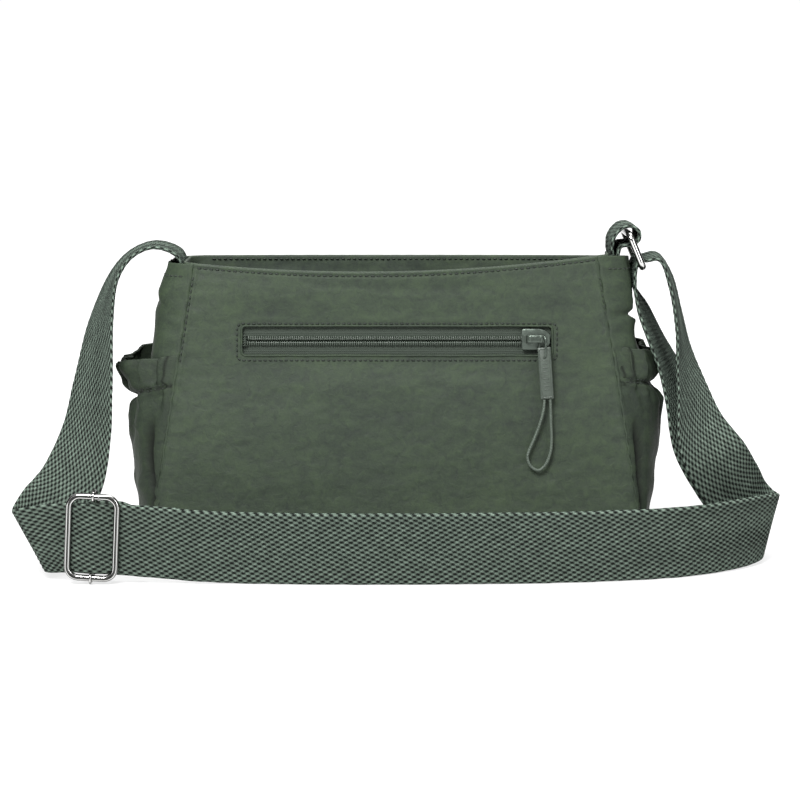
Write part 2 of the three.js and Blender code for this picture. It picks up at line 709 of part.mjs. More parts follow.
function makeTopSlider() {
  const onLeaf = new THREE.Group();
  onLeaf.position.z = TOP_ZIP_HEIGHT;
  purse.add(onLeaf);
  const body = sliderBody(TOP_SLIDER_X, 0, SLIDER_WIDTH / 2, LAYER.sliderPlate, LAYER.sliderBack);
  add(onLeaf, 'top_slider_body', body, SLIDER);
  const bridge = sliderBridge(TOP_SLIDER_X - 5.1, TOP_SLIDER_X + 5.7, 0, BRIDGE_FOOT, 3);
  add(onLeaf, 'top_slider_bridge', bridge, SLIDER);

  // a flat metal puller: its eye goes round the bridge's left foot, and it lies along the zip
  const eyeBar = TOP_SLIDER_X - 3.1;
  const outline = new THREE.Shape();
  const corners = [
    [0.65, -3.2], [0.65, 3.2], [-7, 3.6], [-22, 2.6], [-24, 1.2], [-24, -1.2], [-22, -2.6], [-7, -3.6],
  ];
  corners.forEach(([x, y], i) => (i === 0 ? outline.moveTo(x, y) : outline.lineTo(x, y)));
  outline.closePath();
  outline.holes.push(rectangle(new THREE.Path(), -6.2, -2.1, -0.65, 2.1));
  const pull = flat(outline, BRIDGE_FOOT + 0.1, BRIDGE_FOOT + 1.4);
  pull.translate(eyeBar, 0, 0);
  add(onLeaf, 'top_pull', pull, SLIDER);
}

// ---- shoulder strap -----------------------------------------------------------------------

const half = WEBBING_WIDTH / 2;
const TAIL_LEFT = -119.4;
const BAR_WRAP = RING_WIRE / 2 + GAP + WEBBING_THICK / 2;
const LAYER_STEP = WEBBING_THICK + 0.8;         // between the middles of two layers
const LOOP_REACH = ADJUSTER_BAR / 2 + 0.5 + WEBBING_THICK / 2;
const BAR_Y = ADJUSTER_Y + WEBBING_THICK + GAP + LOOP_REACH;
const runY = (x) => ADJUSTER_Y + (x - ADJUSTER_X) * RUN_SLOPE;
const upright = (x, y, z) => [[x, y, z], [x, y, z + WEBBING_WIDTH]];
const level = (x, z) => [[x, -half, z], [x, half, z]];

// near edge, far edge: from the left gusset over the arch and down to the floor
const LEFT_RISE = [
  level(TAIL_LEFT, 150),
  level(TAIL_LEFT, 161),
  [[-121.4, -half, 168], [-121.6, half, 168.2]],
  [[-128.5, -half, 172.2], [-129, half, 172.4]],
  [[-137, -half, 172.8], [-138.6, half, 173.4]],
  [[-147.1, -20, 167.4], [-150.6, 17.5, 168.6]],
  [[-154.4, -22, 155.6], [-161, 14.5, 157.8]],
  [[-156.7, -28, 134.1], [-173.3, 5, 130.2]],
  [[-156.4, -38, 102], [-179.5, -9, 103.2]],
  [[-156.4, -50, 70.6], [-185.8, -27, 73.4]],
  [[-160, -62, 45.1], [-194.4, -48.5, 54.5]],
  [[-174, -73, 22.5], [-200.9, -66, 45.5]],
  [[-187.6, -80.6, 4.6], [-206.2, -78.4, 37.6]],
  [[-187.2, -85, 4.6], [-203, -83.6, 38.6]],
  [[-178, -88.9, STRAP_LIFT], [-186.5, -88.7, 42]],
];
// along the floor in front of the bag
const FRONT_RUN = [
  upright(-166, runY(-166), 5.8),
  upright(-146, runY(-146), 4.6),
  upright(-98, runY(-98), 0.9),
  upright(-46, -96.2, 0.4),
  upright(6, -96.6, 0.4),
  upright(52, -95, 0.4),
  upright(94, -91.6, 0.4),
  upright(131, -85.2, 0.4),
];
// round the right corner and up outside, to the ring; this is the layer inside the corner's turn
const RIGHT_TURN = [
  upright(160, -74.5, 0.4),
  [[180.5, -61, 0.4], [183.5, -57.5, 38.6]],
  [[193.5, -49, 0.5], [199.5, -41, 38.8]],
  [[199, -41, 0.8], [210, -26, 39]],
  [[197.5, -35.5, 2.2], [212.3, -17.5, 39.8]],
  [[193.5, -29, 7], [208, -15.4, 42.4]],
  [[180.2, -33, 21.5], [203, -20.2, 51]],
];
const RIGHT_RISE = [
  [[163, -41.5, 47.4], [193.1, -28.5, 65.3]],
  [[155.2, -42, 67.3], [182, -17.5, 80.1]],
  [[155.2, -37, 91], [173.2, -4.5, 98.3]],
  [[155.4, -30, 109.5], [166, 3, 114.8]],
  [[155.3, -24, 128.1], [161.6, 12, 134.3]],
  [[152.3, -20, 151], [156.8, 16.5, 155.4]],
  [[146.8, -19, 164.6], [148.4, half, 165.8]],
  level(RING_FOOT[0] + 1.6, RING_FOOT[1] + BAR_WRAP),
];
// up inside the other layer, on the bag's side, and over the ring's lower bar
const INNER_RISE = [
  [[139.4, -26, 122.7], [149.5, 10, 124.4]],
  [[134, -23, 138.5], [142.5, 13.5, 138]],
  [[132.4, -20, 152], [133.6, 18, 151.5]],
  level(RING_FOOT[0] - BAR_WRAP, RING_FOOT[1]),
  level(RING_FOOT[0] - 1.8, RING_FOOT[1] + 2.7),
  level(RING_FOOT[0] + 0.9, RING_FOOT[1] + BAR_WRAP),
];

// the keys from the first one on, each moved off the band's face by its own distance
function layerBeside(keys, first, distances) {
  const middles = keys.map(([a, b]) => new THREE.Vector3(...a).lerp(new THREE.Vector3(...b), 0.5));
  return distances.map((distance, i) => {
    const at = first + i;
    const [a, b] = keys[at];
    const along = new THREE.Vector3().subVectors(middles[at + 1], middles[at - 1]);
    const width = new THREE.Vector3(...b).sub(new THREE.Vector3(...a));
    const shift = new THREE.Vector3().crossVectors(along, width).setLength(distance);
    return [a, b].map((edge) => new THREE.Vector3(...edge).add(shift).toArray());
  });
}

// the webbing's end is folded round the adjuster's bar and sewn back on itself
function barLoop() {
  const lower = (STRAP_LIFT - ADJUSTER_HEIGHT) * ADJUSTER_LEAN;
  const upper = (STRAP_LIFT + WEBBING_WIDTH - ADJUSTER_HEIGHT) * ADJUSTER_LEAN;
  const leaning = (x, y) => [[x + lower, y, STRAP_LIFT], [x + upper, y, STRAP_LIFT + WEBBING_WIDTH]];
  const turn = [];
  const steps = 6;
  for (let i = 0; i <= steps; i += 1) {
    const angle = Math.PI * (1.5 - i / steps);
    const x = ADJUSTER_X + LOOP_REACH * Math.cos(angle);
    const y = BAR_Y + LOOP_REACH * Math.sin(angle);
    turn.push(leaning(x, y));
  }
  return [
    upright(ADJUSTER_X + 22, BAR_Y - LOOP_REACH, 4.2),
    ...turn,
    leaning(ADJUSTER_X + 8, BAR_Y + LOOP_REACH - 0.6),
    leaning(ADJUSTER_X + 14, BAR_Y - LOOP_REACH + 2.9),
    [[ADJUSTER_X + 28, BAR_Y - LOOP_REACH + 2.7, 2.4], [ADJUSTER_X + 22, BAR_Y - LOOP_REACH + 2.7, 42.2]],
  ];
}

// One length of webbing, in two nodes that meet on top of the ring's lower bar. On the floor the
// first lies in front; it passes outside the second at the corner and rises on the bag's side.
function makeStrap() {
  const path = [...LEFT_RISE, ...FRONT_RUN, ...RIGHT_TURN, ...RIGHT_RISE];
  const step = LAYER_STEP;
  const turnStart = LEFT_RISE.length + FRONT_RUN.length;
  const outside = [0.4, 0.8, 1, 1.1, 1.4, 1.7, 1.9, 2.1, 2.2, 2.8, 3.8].map((times) => step * times);
  const first = [...path.slice(0, turnStart), ...layerBeside(path, turnStart, outside), ...INNER_RISE];
  add(purse, 'shoulder_strap', webbing(first), WEBBING);

  const runStart = LEFT_RISE.length + 2;
  const behind = path.slice(runStart, turnStart).map(() => -step);
  const straight = layerBeside(path, runStart, [...behind, -step * 0.6, -step * 0.2]);
  const rise = path.slice(turnStart + 2);
  const second = [...[...straight, ...rise].reverse(), ...barLoop()];
  add(purse, 'shoulder_strap_return', webbing(second), WEBBING);
}

// the short webbing loop sewn into the right gusset's top that holds the ring
function makeRingTab() {
  const [ux, uz] = RING_TOP;
  const keys = [
    [120.6, 150], [120.6, 165], [119.4, 172], [119.8, 180], [ux - 3.8, 186.6], [ux + 1, 187.2],
    [ux + 5.6, 183.2], [ux + 5.4, 177.4], [ux + 1, 174.6], [124.6, 173.8], [123, 170], [122.9, 158],
    [122.9, 150],
  ].map(([x, z]) => level(x, z));
  add(purse, 'ring_tab', webbing(keys), WEBBING);
}

function makeRing() {
  const top = new THREE.Vector3(RING_TOP[0], 0, RING_TOP[1]);
  const foot = new THREE.Vector3(RING_FOOT[0], 0, RING_FOOT[1]);
  const down = foot.clone().sub(top);
  const centre = top.clone().lerp(foot, 0.5);
  const across = new THREE.Vector3(0, 1, 0);
  const along = down.clone().normalize();
  const normal = new THREE.Vector3().crossVectors(across, along);
  const path = roundedLoop(centre, across, RING_LENGTH / 2, along, down.length() / 2, 3.4, 4);
  add(purse, 'strap_ring', wireLoop(path, normal, RING_WIRE, 10), NICKEL);
}

// the adjuster: a flat frame in front of the strap and a bar behind it that slides on the frame
function makeAdjuster() {
  const [width, height] = ADJUSTER_SIZE;
  const frameY = ADJUSTER_Y - WEBBING_THICK / 2 - GAP - ADJUSTER_WIRE / 2;
  const centre = new THREE.Vector3(ADJUSTER_X, frameY, ADJUSTER_HEIGHT);
  const normal = new THREE.Vector3(RUN_SLOPE, -1, 0).normalize();
  const up = new THREE.Vector3(0, 0, 1).applyAxisAngle(normal, -ADJUSTER_LEAN);
  const sideways = new THREE.Vector3().crossVectors(up, normal);
  const path = roundedLoop(centre, sideways, width / 2, up, height / 2, 6, 4);
  add(purse, 'adjuster_frame', wireLoop(path, normal, ADJUSTER_WIRE, 10), NICKEL);

  // each end of the bar comes forward past the strap's edge and hooks round the frame
  const hook = ADJUSTER_WIRE / 2 + 0.2 + HOOK_WIRE / 2;
  const pieces = [new THREE.CylinderGeometry(ADJUSTER_BAR / 2, ADJUSTER_BAR / 2, height, 10)];
  pieces[0].rotateX(Math.PI / 2);
  pieces[0].translate(ADJUSTER_X, BAR_Y, ADJUSTER_HEIGHT);
  for (const side of [1, -1]) {
    const bend = [
      [frameY + 0.2, -hook], [frameY - hook * 0.7, -hook * 0.72], [frameY - hook, 0],
      [frameY - hook * 0.72, hook * 0.72], [frameY, hook], [frameY + 3, hook],
      [BAR_Y - 2, hook * 0.85], [BAR_Y, 0.4], [BAR_Y, -3],
    ].map(([y, z]) => new THREE.Vector3(ADJUSTER_X, y, ADJUSTER_HEIGHT + side * (height / 2 + z)));
    pieces.push(rod(bend, HOOK_WIRE, 8, 22));
  }
  const bar = join(pieces);
  bar.translate(-ADJUSTER_X, 0, -ADJUSTER_HEIGHT);
  bar.rotateY(ADJUSTER_LEAN);
  bar.translate(ADJUSTER_X, 0, ADJUSTER_HEIGHT);
  add(purse, 'adjuster_bar', bar, NICKEL);
}

makePanels();
makeGusset('left_gusset', -1);
makeGusset('right_gusset', 1);
makeBase();
makeFacing();
makeLining();
makePocket('left', -1);
makePocket('right', 1);
makeFrontZip();
makeFrontPouch();
makeFrontSlider();
makeFrontPull();
makeTopZip();
makeTopSlider();
makeStrap();
makeRingTab();
makeRing();
makeAdjuster();

export default purse;
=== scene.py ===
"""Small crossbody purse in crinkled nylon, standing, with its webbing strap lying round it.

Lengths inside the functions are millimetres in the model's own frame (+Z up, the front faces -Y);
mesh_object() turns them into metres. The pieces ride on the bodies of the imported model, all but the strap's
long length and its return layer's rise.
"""

import math

import bpy
import numpy as np
from mathutils import Matrix, Vector


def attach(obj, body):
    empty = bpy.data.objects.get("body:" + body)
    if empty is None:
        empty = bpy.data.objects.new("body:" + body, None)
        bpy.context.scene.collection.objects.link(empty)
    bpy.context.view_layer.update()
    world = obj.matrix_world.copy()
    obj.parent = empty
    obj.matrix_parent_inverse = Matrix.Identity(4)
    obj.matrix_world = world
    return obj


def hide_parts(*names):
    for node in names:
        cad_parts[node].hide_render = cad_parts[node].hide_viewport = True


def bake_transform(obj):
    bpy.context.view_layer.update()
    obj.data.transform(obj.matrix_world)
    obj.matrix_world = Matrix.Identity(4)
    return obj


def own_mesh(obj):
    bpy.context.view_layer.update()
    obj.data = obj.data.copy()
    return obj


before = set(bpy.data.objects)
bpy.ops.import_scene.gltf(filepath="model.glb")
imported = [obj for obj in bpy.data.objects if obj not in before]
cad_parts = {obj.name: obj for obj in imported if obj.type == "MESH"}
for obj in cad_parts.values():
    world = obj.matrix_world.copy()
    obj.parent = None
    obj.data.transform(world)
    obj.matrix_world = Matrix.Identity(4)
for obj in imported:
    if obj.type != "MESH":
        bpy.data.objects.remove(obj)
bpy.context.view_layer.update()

MM = 0.001

# ---- driving sizes, the same as the model's; sides are -1 (left) and 1 (right) ---------------

BAG_HEIGHT = 165
BASE_HALF = (138, 50)            # half width and half depth at the base
RIM_HALF = (111.5, 28)
RIM_SAG = 160.6                  # height of the front rim at its middle
RIM_RISE = 6.71                  # and how much higher its ends are, on average
RIM_TILT = 2.26                  # with the right end higher and the left end lower by this
BACK_RIM = 165
LEAN = math.atan((BASE_HALF[1] - RIM_HALF[1]) / BAG_HEIGHT)
BULGE = {-1: (1.5, 18.5), 1: (1.5, 17.5)}    # gusset swell at the base and at the top
FOOT = 2.0                       # height at which the panels meet the base
ZIP_S = 123.2 / math.cos(LEAN)   # the front zip's centre line, up the panel's slope
ZIP_X = 0.3
WINDOW = (84.9, 7.6)             # half sizes of the zip window
WELT = 1.2                       # width of its bound edge
SLIDER_X = 76.6
SLIDER_LENGTH = 15.6
LINK_X = 80.2
LINK_RADIUS = 2.45
LINK_FOOT = 7.4                  # from the link's upper turn to its lower one
BRIDGE_FOOT = 1.5                # height of the bridge's feet off the zip
BRIDGE_BAR = 4.9                 # and of the link's middle
TAB_TILT = math.radians(3.8)
TAB_SHIFT = 1.1                  # the tab hangs this far right of the link
LINK_TURN = math.radians(40)
CORD_STEP = 0.24
TOP_ZIP = 147.5                  # height of the recessed zip
TOP_SLIDER_X = 103
LEAF_HINGE = 27
TOP_COIL = (-98, 94)
TOOTH_PITCH = 1.2
WEB_WIDTH = 38
WEB_HALF_THICK = 1.0
WEAVE = (4.9, 2.65)              # pitch of the weave along and across the webbing
WEAVE_STEPS = 6                  # mesh steps in one pitch along it
WEAVE_RELIEF = 0.24
SELVEDGE = 1.1                   # width of the webbing's rounded edges
RING_TOP = (128.8, 180.5)        # x and z of the ring's upper bar, then of its lower one
RING_FOOT = (136.4, 162.5)
RING_HALF_WIDTH = 21.75
RING_WIRE = 1.9                  # radius, as for the wires below
ADJUSTER = (-161.6, -92, 25.6)   # middle of the adjuster
ADJUSTER_HALF = (12.8, 22.05)    # half width and half height of its frame, to the wire's middle
ADJUSTER_WIRE = 1.7
ADJUSTER_LEAN = 0.052            # its top leans this many radians to the right
BAR_WIRE = 1.4
HOOK_WIRE = 0.7
RUN_SLOPE = -0.022               # y per mm of x of the strap's stretch through the adjuster
STITCH_SHARE = 0.58              # how much of its pitch a stitch fills
RIM_STITCH_DROP = 2.0
SEAM_STITCH_INSET = 0.9
POCKET_PROFILE = {               # height and reach of each pocket's outer face at mid-depth
    -1: [
        (3, 141), (12, 141.8), (26, 143.7), (45, 148.1), (60, 149.2), (78, 149.2), (88, 146.8), (98, 151.5),
        (107, 156),
    ],
    1: [
        (3, 139.8), (12, 139.6), (26, 140.4), (44, 146), (68, 148), (87, 146.7), (96, 142.4), (105, 144.8),
        (114, 142.4),
    ],
}
POCKET_RIM = {-1: (107, 115), 1: (114, 120)}    # height at mid-depth and at the front seam
GATHER = {-1: (88.5, 99), 1: (96.4, 102)}       # height of the gathering line there


# ---- curves and noise -------------------------------------------------------------------------

def mix(a, b, t):
    return a + (b - a) * t


def smooth(t):
    """An eased step from 0 to 1."""
    s = np.clip(t, 0, 1)
    return s * s * (3 - 2 * s)


def hump(x, centre, width):
    """A round hump of height 1."""
    return np.exp(-(((x - centre) / width) ** 2))


def unit(v):
    v = np.asarray(v, float)
    return v / np.maximum(np.linalg.norm(v, axis=-1, keepdims=True), 1e-12)


def noise(u, v, seed):
    """Smooth noise from -1 to 1 with cells of size 1."""
    table = np.random.default_rng(seed).uniform(-1, 1, (64, 64))
    u, v = np.broadcast_arrays(np.asarray(u, float), np.asarray(v, float))
    i, j = np.floor(u).astype(int), np.floor(v).astype(int)
    fu, fv = smooth(u - i), smooth(v - j)
    at = lambda a, b: table[(i + a) % 64, (j + b) % 64]
    return mix(mix(at(0, 0), at(1, 0), fu), mix(at(0, 1), at(1, 1), fu), fv)


def fractal(u, v, seed, octaves=3):
    """Noise with finer noise on top."""
    total = 0
    for k in range(octaves):
        total = total + noise(u * 2 ** k, v * 2 ** k, seed + k) / 2 ** k
    return total / 1.6


def creases(u, v, seed):
    """Sharp soft-sided ridges, as in crumpled cloth, from 0 to 1."""
    bend = 0.6 * fractal(u, v, seed + 9)
    return (1 - np.abs(noise(u + bend, v - bend, seed))) ** 3


# ---- meshes ----------------------------------------------------------------------------------

def mesh_object(name, parts, material, thickness=0):
    """One object from a list of (points in mm, faces); thickness makes a sheet solid, inwards."""
    points, faces, start = [], [], 0
    for part_points, part_faces in parts:
        part_points = np.asarray(part_points, float).reshape(-1, 3)
        points.append(part_points)
        faces.extend([[int(i) + start for i in face] for face in part_faces])
        start += len(part_points)
    mesh = bpy.data.meshes.new(name)
    mesh.from_pydata((np.concatenate(points) * MM).tolist(), [], faces)
    mesh.validate()
    mesh.polygons.foreach_set("use_smooth", [True] * len(mesh.polygons))
    mesh.materials.append(material)
    piece = bpy.data.objects.new(name, mesh)
    bpy.context.scene.collection.objects.link(piece)
    if thickness:
        solidify = piece.modifiers.new("thickness", "SOLIDIFY")
        solidify.thickness = thickness * MM
        solidify.offset = -1
        solidify.use_even_offset = False
    return piece


def place(piece, body, slot, *nodes):
    """A piece's body and the nodes that it stands for; its slot is not used."""
    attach(piece, body)
    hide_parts(*nodes)


def grid_faces(rows, cols, wrap=False, skip=None, flip=False):
    """Quads of a grid of points; skip leaves some out, flip turns them to face the other way."""
    r = np.arange(rows - 1)[:, None]
    c = np.arange(cols if wrap else cols - 1)[None, :]
    after = (c + 1) % cols
    quads = np.stack([r * cols + c, r * cols + after, (r + 1) * cols + after, (r + 1) * cols + c], -1)
    if skip is not None:
        quads = quads[~skip]
    quads = quads.reshape(-1, 4)
    return quads[:, ::-1] if flip else quads


def sweep(rings, closed=False):
    """Rings of points joined into a tube with flat ends, or into a loop."""
    rings = np.asarray(rings, float)
    count, sides = rings.shape[:2]
    faces = grid_faces(count, sides, wrap=True).tolist()
    if closed:
        last = (count - 1) * sides
        faces += [[last + k, last + (k + 1) % sides, (k + 1) % sides, k] for k in range(sides)]
    else:
        faces.append(list(range(sides))[::-1])
        faces.append([(count - 1) * sides + k for k in range(sides)])
    return rings.reshape(-1, 3), faces


def frames_along(path, closed=False, up=None):
    """Two unit vectors across the path at each point: a fixed up, or one carried along it."""
    if closed:
        tangent = unit(np.roll(path, -1, 0) - np.roll(path, 1, 0))
    else:
        tangent = unit(np.gradient(path, axis=0))
    if up is not None:
        side = unit(np.cross(tangent, up))
        return side, unit(np.cross(side, tangent))
    carried = unit(np.cross(tangent[0], [0.31, 0.87, 0.39]))
    firsts = []
    for t in tangent:
        carried = unit(carried - t * np.dot(carried, t))
        firsts.append(carried)
    firsts = np.array(firsts)
    return firsts, np.cross(tangent, firsts)


def tube(path, radius, sides=10, closed=False, up=None):
    """A tube along a path; its radius is one number, one for each point, or one for each corner."""
    path = np.asarray(path, float)
    radius = np.asarray(radius, float)
    if radius.ndim == 1:
        radius = radius[:, None]
    radius = np.broadcast_to(radius, (len(path), sides))[..., None]
    a, b = frames_along(path, closed, up)
    angle = np.linspace(0, 2 * math.pi, sides, endpoint=False)[None, :, None]
    rings = path[:, None] + radius * (np.cos(angle) * a[:, None] + np.sin(angle) * b[:, None])
    return sweep(rings, closed)


def rounded_loop(centre, side_a, half_a, side_b, half_b, corner, steps=8):
    """Points of a rounded rectangle in the plane of two unit vectors."""
    points = []
    for number, (sa, sb) in enumerate([(1, 1), (-1, 1), (-1, -1), (1, -1)]):
        for i in range(steps + 1):
            angle = (number + i / steps) * math.pi / 2
            a = sa * (half_a - corner) + corner * math.cos(angle)
            b = sb * (half_b - corner) + corner * math.sin(angle)
            points.append(np.asarray(centre) + a * np.asarray(side_a) + b * np.asarray(side_b))
    return np.array(points)


def arc_length(path):
    """The distance travelled along a path at each of its points."""
    return np.concatenate([[0], np.cumsum(np.linalg.norm(np.diff(path, axis=0), axis=1))])


def rows_at(rows, length, at):
    return np.stack([np.interp(at, length, rows[:, k]) for k in range(rows.shape[1])], 1)


def resample(path, step, rows=None):
    """The path's points, or rows that go with them, at even steps of about the given length."""
    path = np.asarray(path, float)
    length = arc_length(path)
    at = np.linspace(0, length[-1], max(int(round(length[-1] / step)), 1) + 1)
    return rows_at(path if rows is None else rows, length, at)


def loop_to_count(ring, count):
    """A closed loop with a set number of evenly spaced points."""
    closed = np.vstack([ring, ring[:1]])
    length = arc_length(closed)
    return rows_at(closed, length, np.linspace(0, length[-1], count, endpoint=False))


def stitches(line, out, pitch, radius=0.40):
    """A row of thread stitches along a line that lies on a surface; out is the way off the surface."""
    line = np.asarray(line, float)
    out = np.broadcast_to(unit(out), line.shape)
    marks = resample(np.hstack([line, out]), pitch)
    t = np.array([0.0, 0.12, 0.5, 0.88, 1.0])
    lift = np.array([-0.9, 0.1, 0.35, 0.1, -0.9]) * radius
    taper = radius * np.array([0.5, 0.95, 1, 0.95, 0.5])
    parts = []
    for start, end in zip(marks[:-1], marks[1:]):
        along = start[:3] + (end[:3] - start[:3]) * (0.5 + (t[:, None] - 0.5) * STITCH_SHARE)
        parts.append(tube(along + lift[:, None] * unit(start[3:]), taper, sides=6))
    return parts


def prism(outline, low, high, bevel):
    """A flat outline made solid from low to high, with rounded edges, as (points, faces)."""
    mesh = bpy.data.meshes.new("prism")
    count = len(outline)
    points = [(x, y, low) for x, y in outline] + [(x, y, high) for x, y in outline]
    faces = [list(range(count))[::-1], [count + i for i in range(count)]]
    faces += [[i, (i + 1) % count, count + (i + 1) % count, count + i] for i in range(count)]
    mesh.from_pydata(points, [], faces)
    helper = bpy.data.objects.new("prism", mesh)
    bpy.context.scene.collection.objects.link(helper)
    rounding = helper.modifiers.new("rounding", "BEVEL")
    rounding.width = bevel
    rounding.segments = 3
    rounding.limit_method = "ANGLE"
    rounding.angle_limit = math.radians(25)
    made = helper.evaluated_get(bpy.context.evaluated_depsgraph_get()).to_mesh()
    result = (np.array([v.co for v in made.vertices]), [list(p.vertices) for p in made.polygons])
    bpy.data.objects.remove(helper)
    bpy.data.meshes.remove(mesh)
    return result


def moved(parts, matrix):
    """Parts put in place by a 4 by 4 matrix."""
    m = np.array(matrix)
    return [(np.asarray(points) @ m[:3, :3].T + m[:3, 3], faces) for points, faces in parts]


# ---- the bag's shape --------------------------------------------------------------------------

def half_width(z):
    """The front and back panels' half width at a height."""
    return mix(BASE_HALF[0], RIM_HALF[0], z / BAG_HEIGHT)


def half_depth(z):
    """How far the panels stand from the middle at a height."""
    return mix(BASE_HALF[1], RIM_HALF[1], z / BAG_HEIGHT)


def front_rim(x):
    """Height of the front panel's sagging rim."""
    share = x / RIM_HALF[0]
    return RIM_SAG + RIM_RISE * share * share + RIM_TILT * share


def gusset_reach(y, z, side):
    """How far the swelling gusset stands out from the middle."""
    low, high = BULGE[side]
    swell = mix(low, high, smooth((z - 5) / 120))
    across = np.minimum(np.abs(y) / half_depth(z), 1)
    return half_width(z) + swell * (1 - across ** 5)


def pocket_level(z, side):
    """The pocket's outer face at mid-depth, by height."""
    heights = np.array([p[0] for p in POCKET_PROFILE[side]], float)
    reaches = np.array([p[1] for p in POCKET_PROFILE[side]], float)
    i = np.clip(np.searchsorted(heights, z, side="right") - 1, 0, len(heights) - 2)
    return mix(reaches[i], reaches[i + 1], smooth((z - heights[i]) / (heights[i + 1] - heights[i])))


def on_panel(x, s, n, back=False):
    """A point on the front panel (x along, s up its slope, n outwards), or on the back one."""
    y = -BASE_HALF[1] + s * math.sin(LEAN) - n * math.cos(LEAN)
    z = s * math.cos(LEAN) + n * math.sin(LEAN)
    x, y, z = np.broadcast_arrays(x, y, z)
    turn = -1 if back else 1
    return np.stack([turn * x, turn * y, z], -1)


FRONT = Matrix.Translation((0, -BASE_HALF[1], 0)) @ Matrix.Rotation(math.pi / 2 - LEAN, 4, "X")
FRONT_OUT = np.array(FRONT)[:3, 2]


# ---- materials --------------------------------------------------------------------------------

class Nodes:
    """Short calls for building a node tree."""

    def __init__(self, name):
        self.material = bpy.data.materials.new(name)
        self.material.use_nodes = True
        self.tree = self.material.node_tree
        self.shader = self.tree.nodes["Principled BSDF"]

    def add(self, kind, **settings):
        node = self.tree.nodes.new(kind)
        for key, value in settings.items():
            setattr(node, key, value)
        return node

    def join(self, source, target):
        self.tree.links.new(source, target)

    def place(self):
        return self.add("ShaderNodeTexCoord").outputs["Object"]

    def math(self, operation, a, b=None):
        node = self.add("ShaderNodeMath", operation=operation)
        for socket, value in zip(node.inputs, (a, b)):
            if value is None:
                continue
            if isinstance(value, (int, float)):
                socket.default_value = value
            else:
                self.join(value, socket)
        return node.outputs[0]

    def weighted(self, *terms):
        """The sum of values times their weights."""
        total = None
        for value, weight in terms:
            part = self.math("MULTIPLY", value, weight)
            total = part if total is None else self.math("ADD", total, part)
        return total

    def noise(self, scale, detail=3.0, roughness=0.55, vector=None, distortion=0.0):
        node = self.add("ShaderNodeTexNoise")
        node.inputs["Scale"].default_value = scale
        node.inputs["Detail"].default_value = detail
        node.inputs["Roughness"].default_value = roughness
        node.inputs["Distortion"].default_value = distortion
        self.join(vector or self.place(), node.inputs["Vector"])
        return node.outputs["Fac"]

    def ramp(self, factor, *stops):
        node = self.add("ShaderNodeValToRGB")
        elements = node.color_ramp.elements
        while len(elements) < len(stops):
            elements.new(0.5)
        for element, (position, colour) in zip(elements, stops):
            element.position = position
            element.color = (*colour, 1)
        self.join(factor, node.inputs["Fac"])
        return node.outputs["Color"]

    def bump(self, height, distance, before=None):
        node = self.add("ShaderNodeBump")
        node.inputs["Distance"].default_value = distance * MM
        node.inputs["Strength"].default_value = 1.0
        self.join(height, node.inputs["Height"])
        if before is not None:
            self.join(before, node.inputs["Normal"])
        return node.outputs["Normal"]

    def stretched(self, scale):
        node = self.add("ShaderNodeMapping")
        node.inputs["Scale"].default_value = scale
        self.join(self.place(), node.inputs["Vector"])
        return node.outputs["Vector"]

    def finish(self, colour=None, roughness=0.6, metallic=0.0, normal=None, specular=0.5):
        if isinstance(colour, tuple):
            self.shader.inputs["Base Color"].default_value = (*colour, 1)
        elif colour is not None:
            self.join(colour, self.shader.inputs["Base Color"])
        if isinstance(roughness, float):
            self.shader.inputs["Roughness"].default_value = roughness
        else:
            self.join(roughness, self.shader.inputs["Roughness"])
        self.shader.inputs["Metallic"].default_value = metallic
        self.shader.inputs["Specular IOR Level"].default_value = specular
        if normal is not None:
            self.join(normal, self.shader.inputs["Normal"])
        return self.material


def shade(colour, factor):
    return tuple(min(c * factor, 1.0) for c in colour)


def crinkled_nylon(name, colour, crinkle=0.22, paints_fold_shade=False):
    """Washed nylon: a fine uneven crinkle, mottled tone that drifts between two greens, faint streaks."""
    n = Nodes(name)
    streaks = n.noise(1.0, 4, 0.6, n.stretched((45, 45, 200)))
    patches = n.noise(16, 3, 0.6)
    blotches = n.noise(210, 4, 0.6, distortion=0.8)
    fine = n.noise(800, 2, 0.5)
    tone = n.weighted((streaks, 0.22), (patches, 0.25), (blotches, 0.38), (fine, 0.15))
    cool = (colour[0] * 0.70, colour[1] * 0.66, colour[2] * 0.80)
    warm = (colour[0] * 1.34, colour[1] * 1.38, colour[2] * 1.18)
    look = n.ramp(tone, (0.36, cool), (0.5, colour), (0.64, warm))
    # painted shade: when this is set, the colour is darkened towards a tenth of itself where a per-point
    # attribute marks the folds
    if paints_fold_shade:
        depth = n.add("ShaderNodeAttribute", attribute_name="painted_fold_shade")
        painted_shade_mix = n.add("ShaderNodeMix", data_type="RGBA")
        n.join(depth.outputs["Fac"], painted_shade_mix.inputs["Factor"])
        n.join(look, painted_shade_mix.inputs["A"])
        painted_shade_mix.inputs["B"].default_value = (*shade(colour, 0.10), 1)
        look = painted_shade_mix.outputs["Result"]
    normal = n.bump(blotches, crinkle * 1.3)
    normal = n.bump(streaks, crinkle * 0.6, normal)
    normal = n.bump(fine, crinkle * 0.25, normal)
    roughness = n.math("ADD", n.math("MULTIPLY", blotches, 0.20), 0.52)
    return n.finish(look, roughness, normal=normal, specular=0.20)


def plain_cloth(name, colour, pitch=0.45):
    """Thin lining cloth with a fine square weave."""
    n = Nodes(name)
    separate = n.add("ShaderNodeSeparateXYZ")
    n.join(n.place(), separate.inputs[0])
    turn = 2 * math.pi / (pitch * MM)
    warp = n.math("SINE", n.math("MULTIPLY", separate.outputs[0], turn))
    weft = n.math("SINE", n.math("MULTIPLY", separate.outputs[2], turn))
    patches = n.noise(60, 3)
    look = n.ramp(patches, (0.3, shade(colour, 0.82)), (0.7, shade(colour, 1.15)))
    normal = n.bump(n.math("MULTIPLY", warp, weft), 0.05)
    normal = n.bump(n.noise(90, 4), 0.5, normal)
    return n.finish(look, 0.8, normal=normal, specular=0.25)


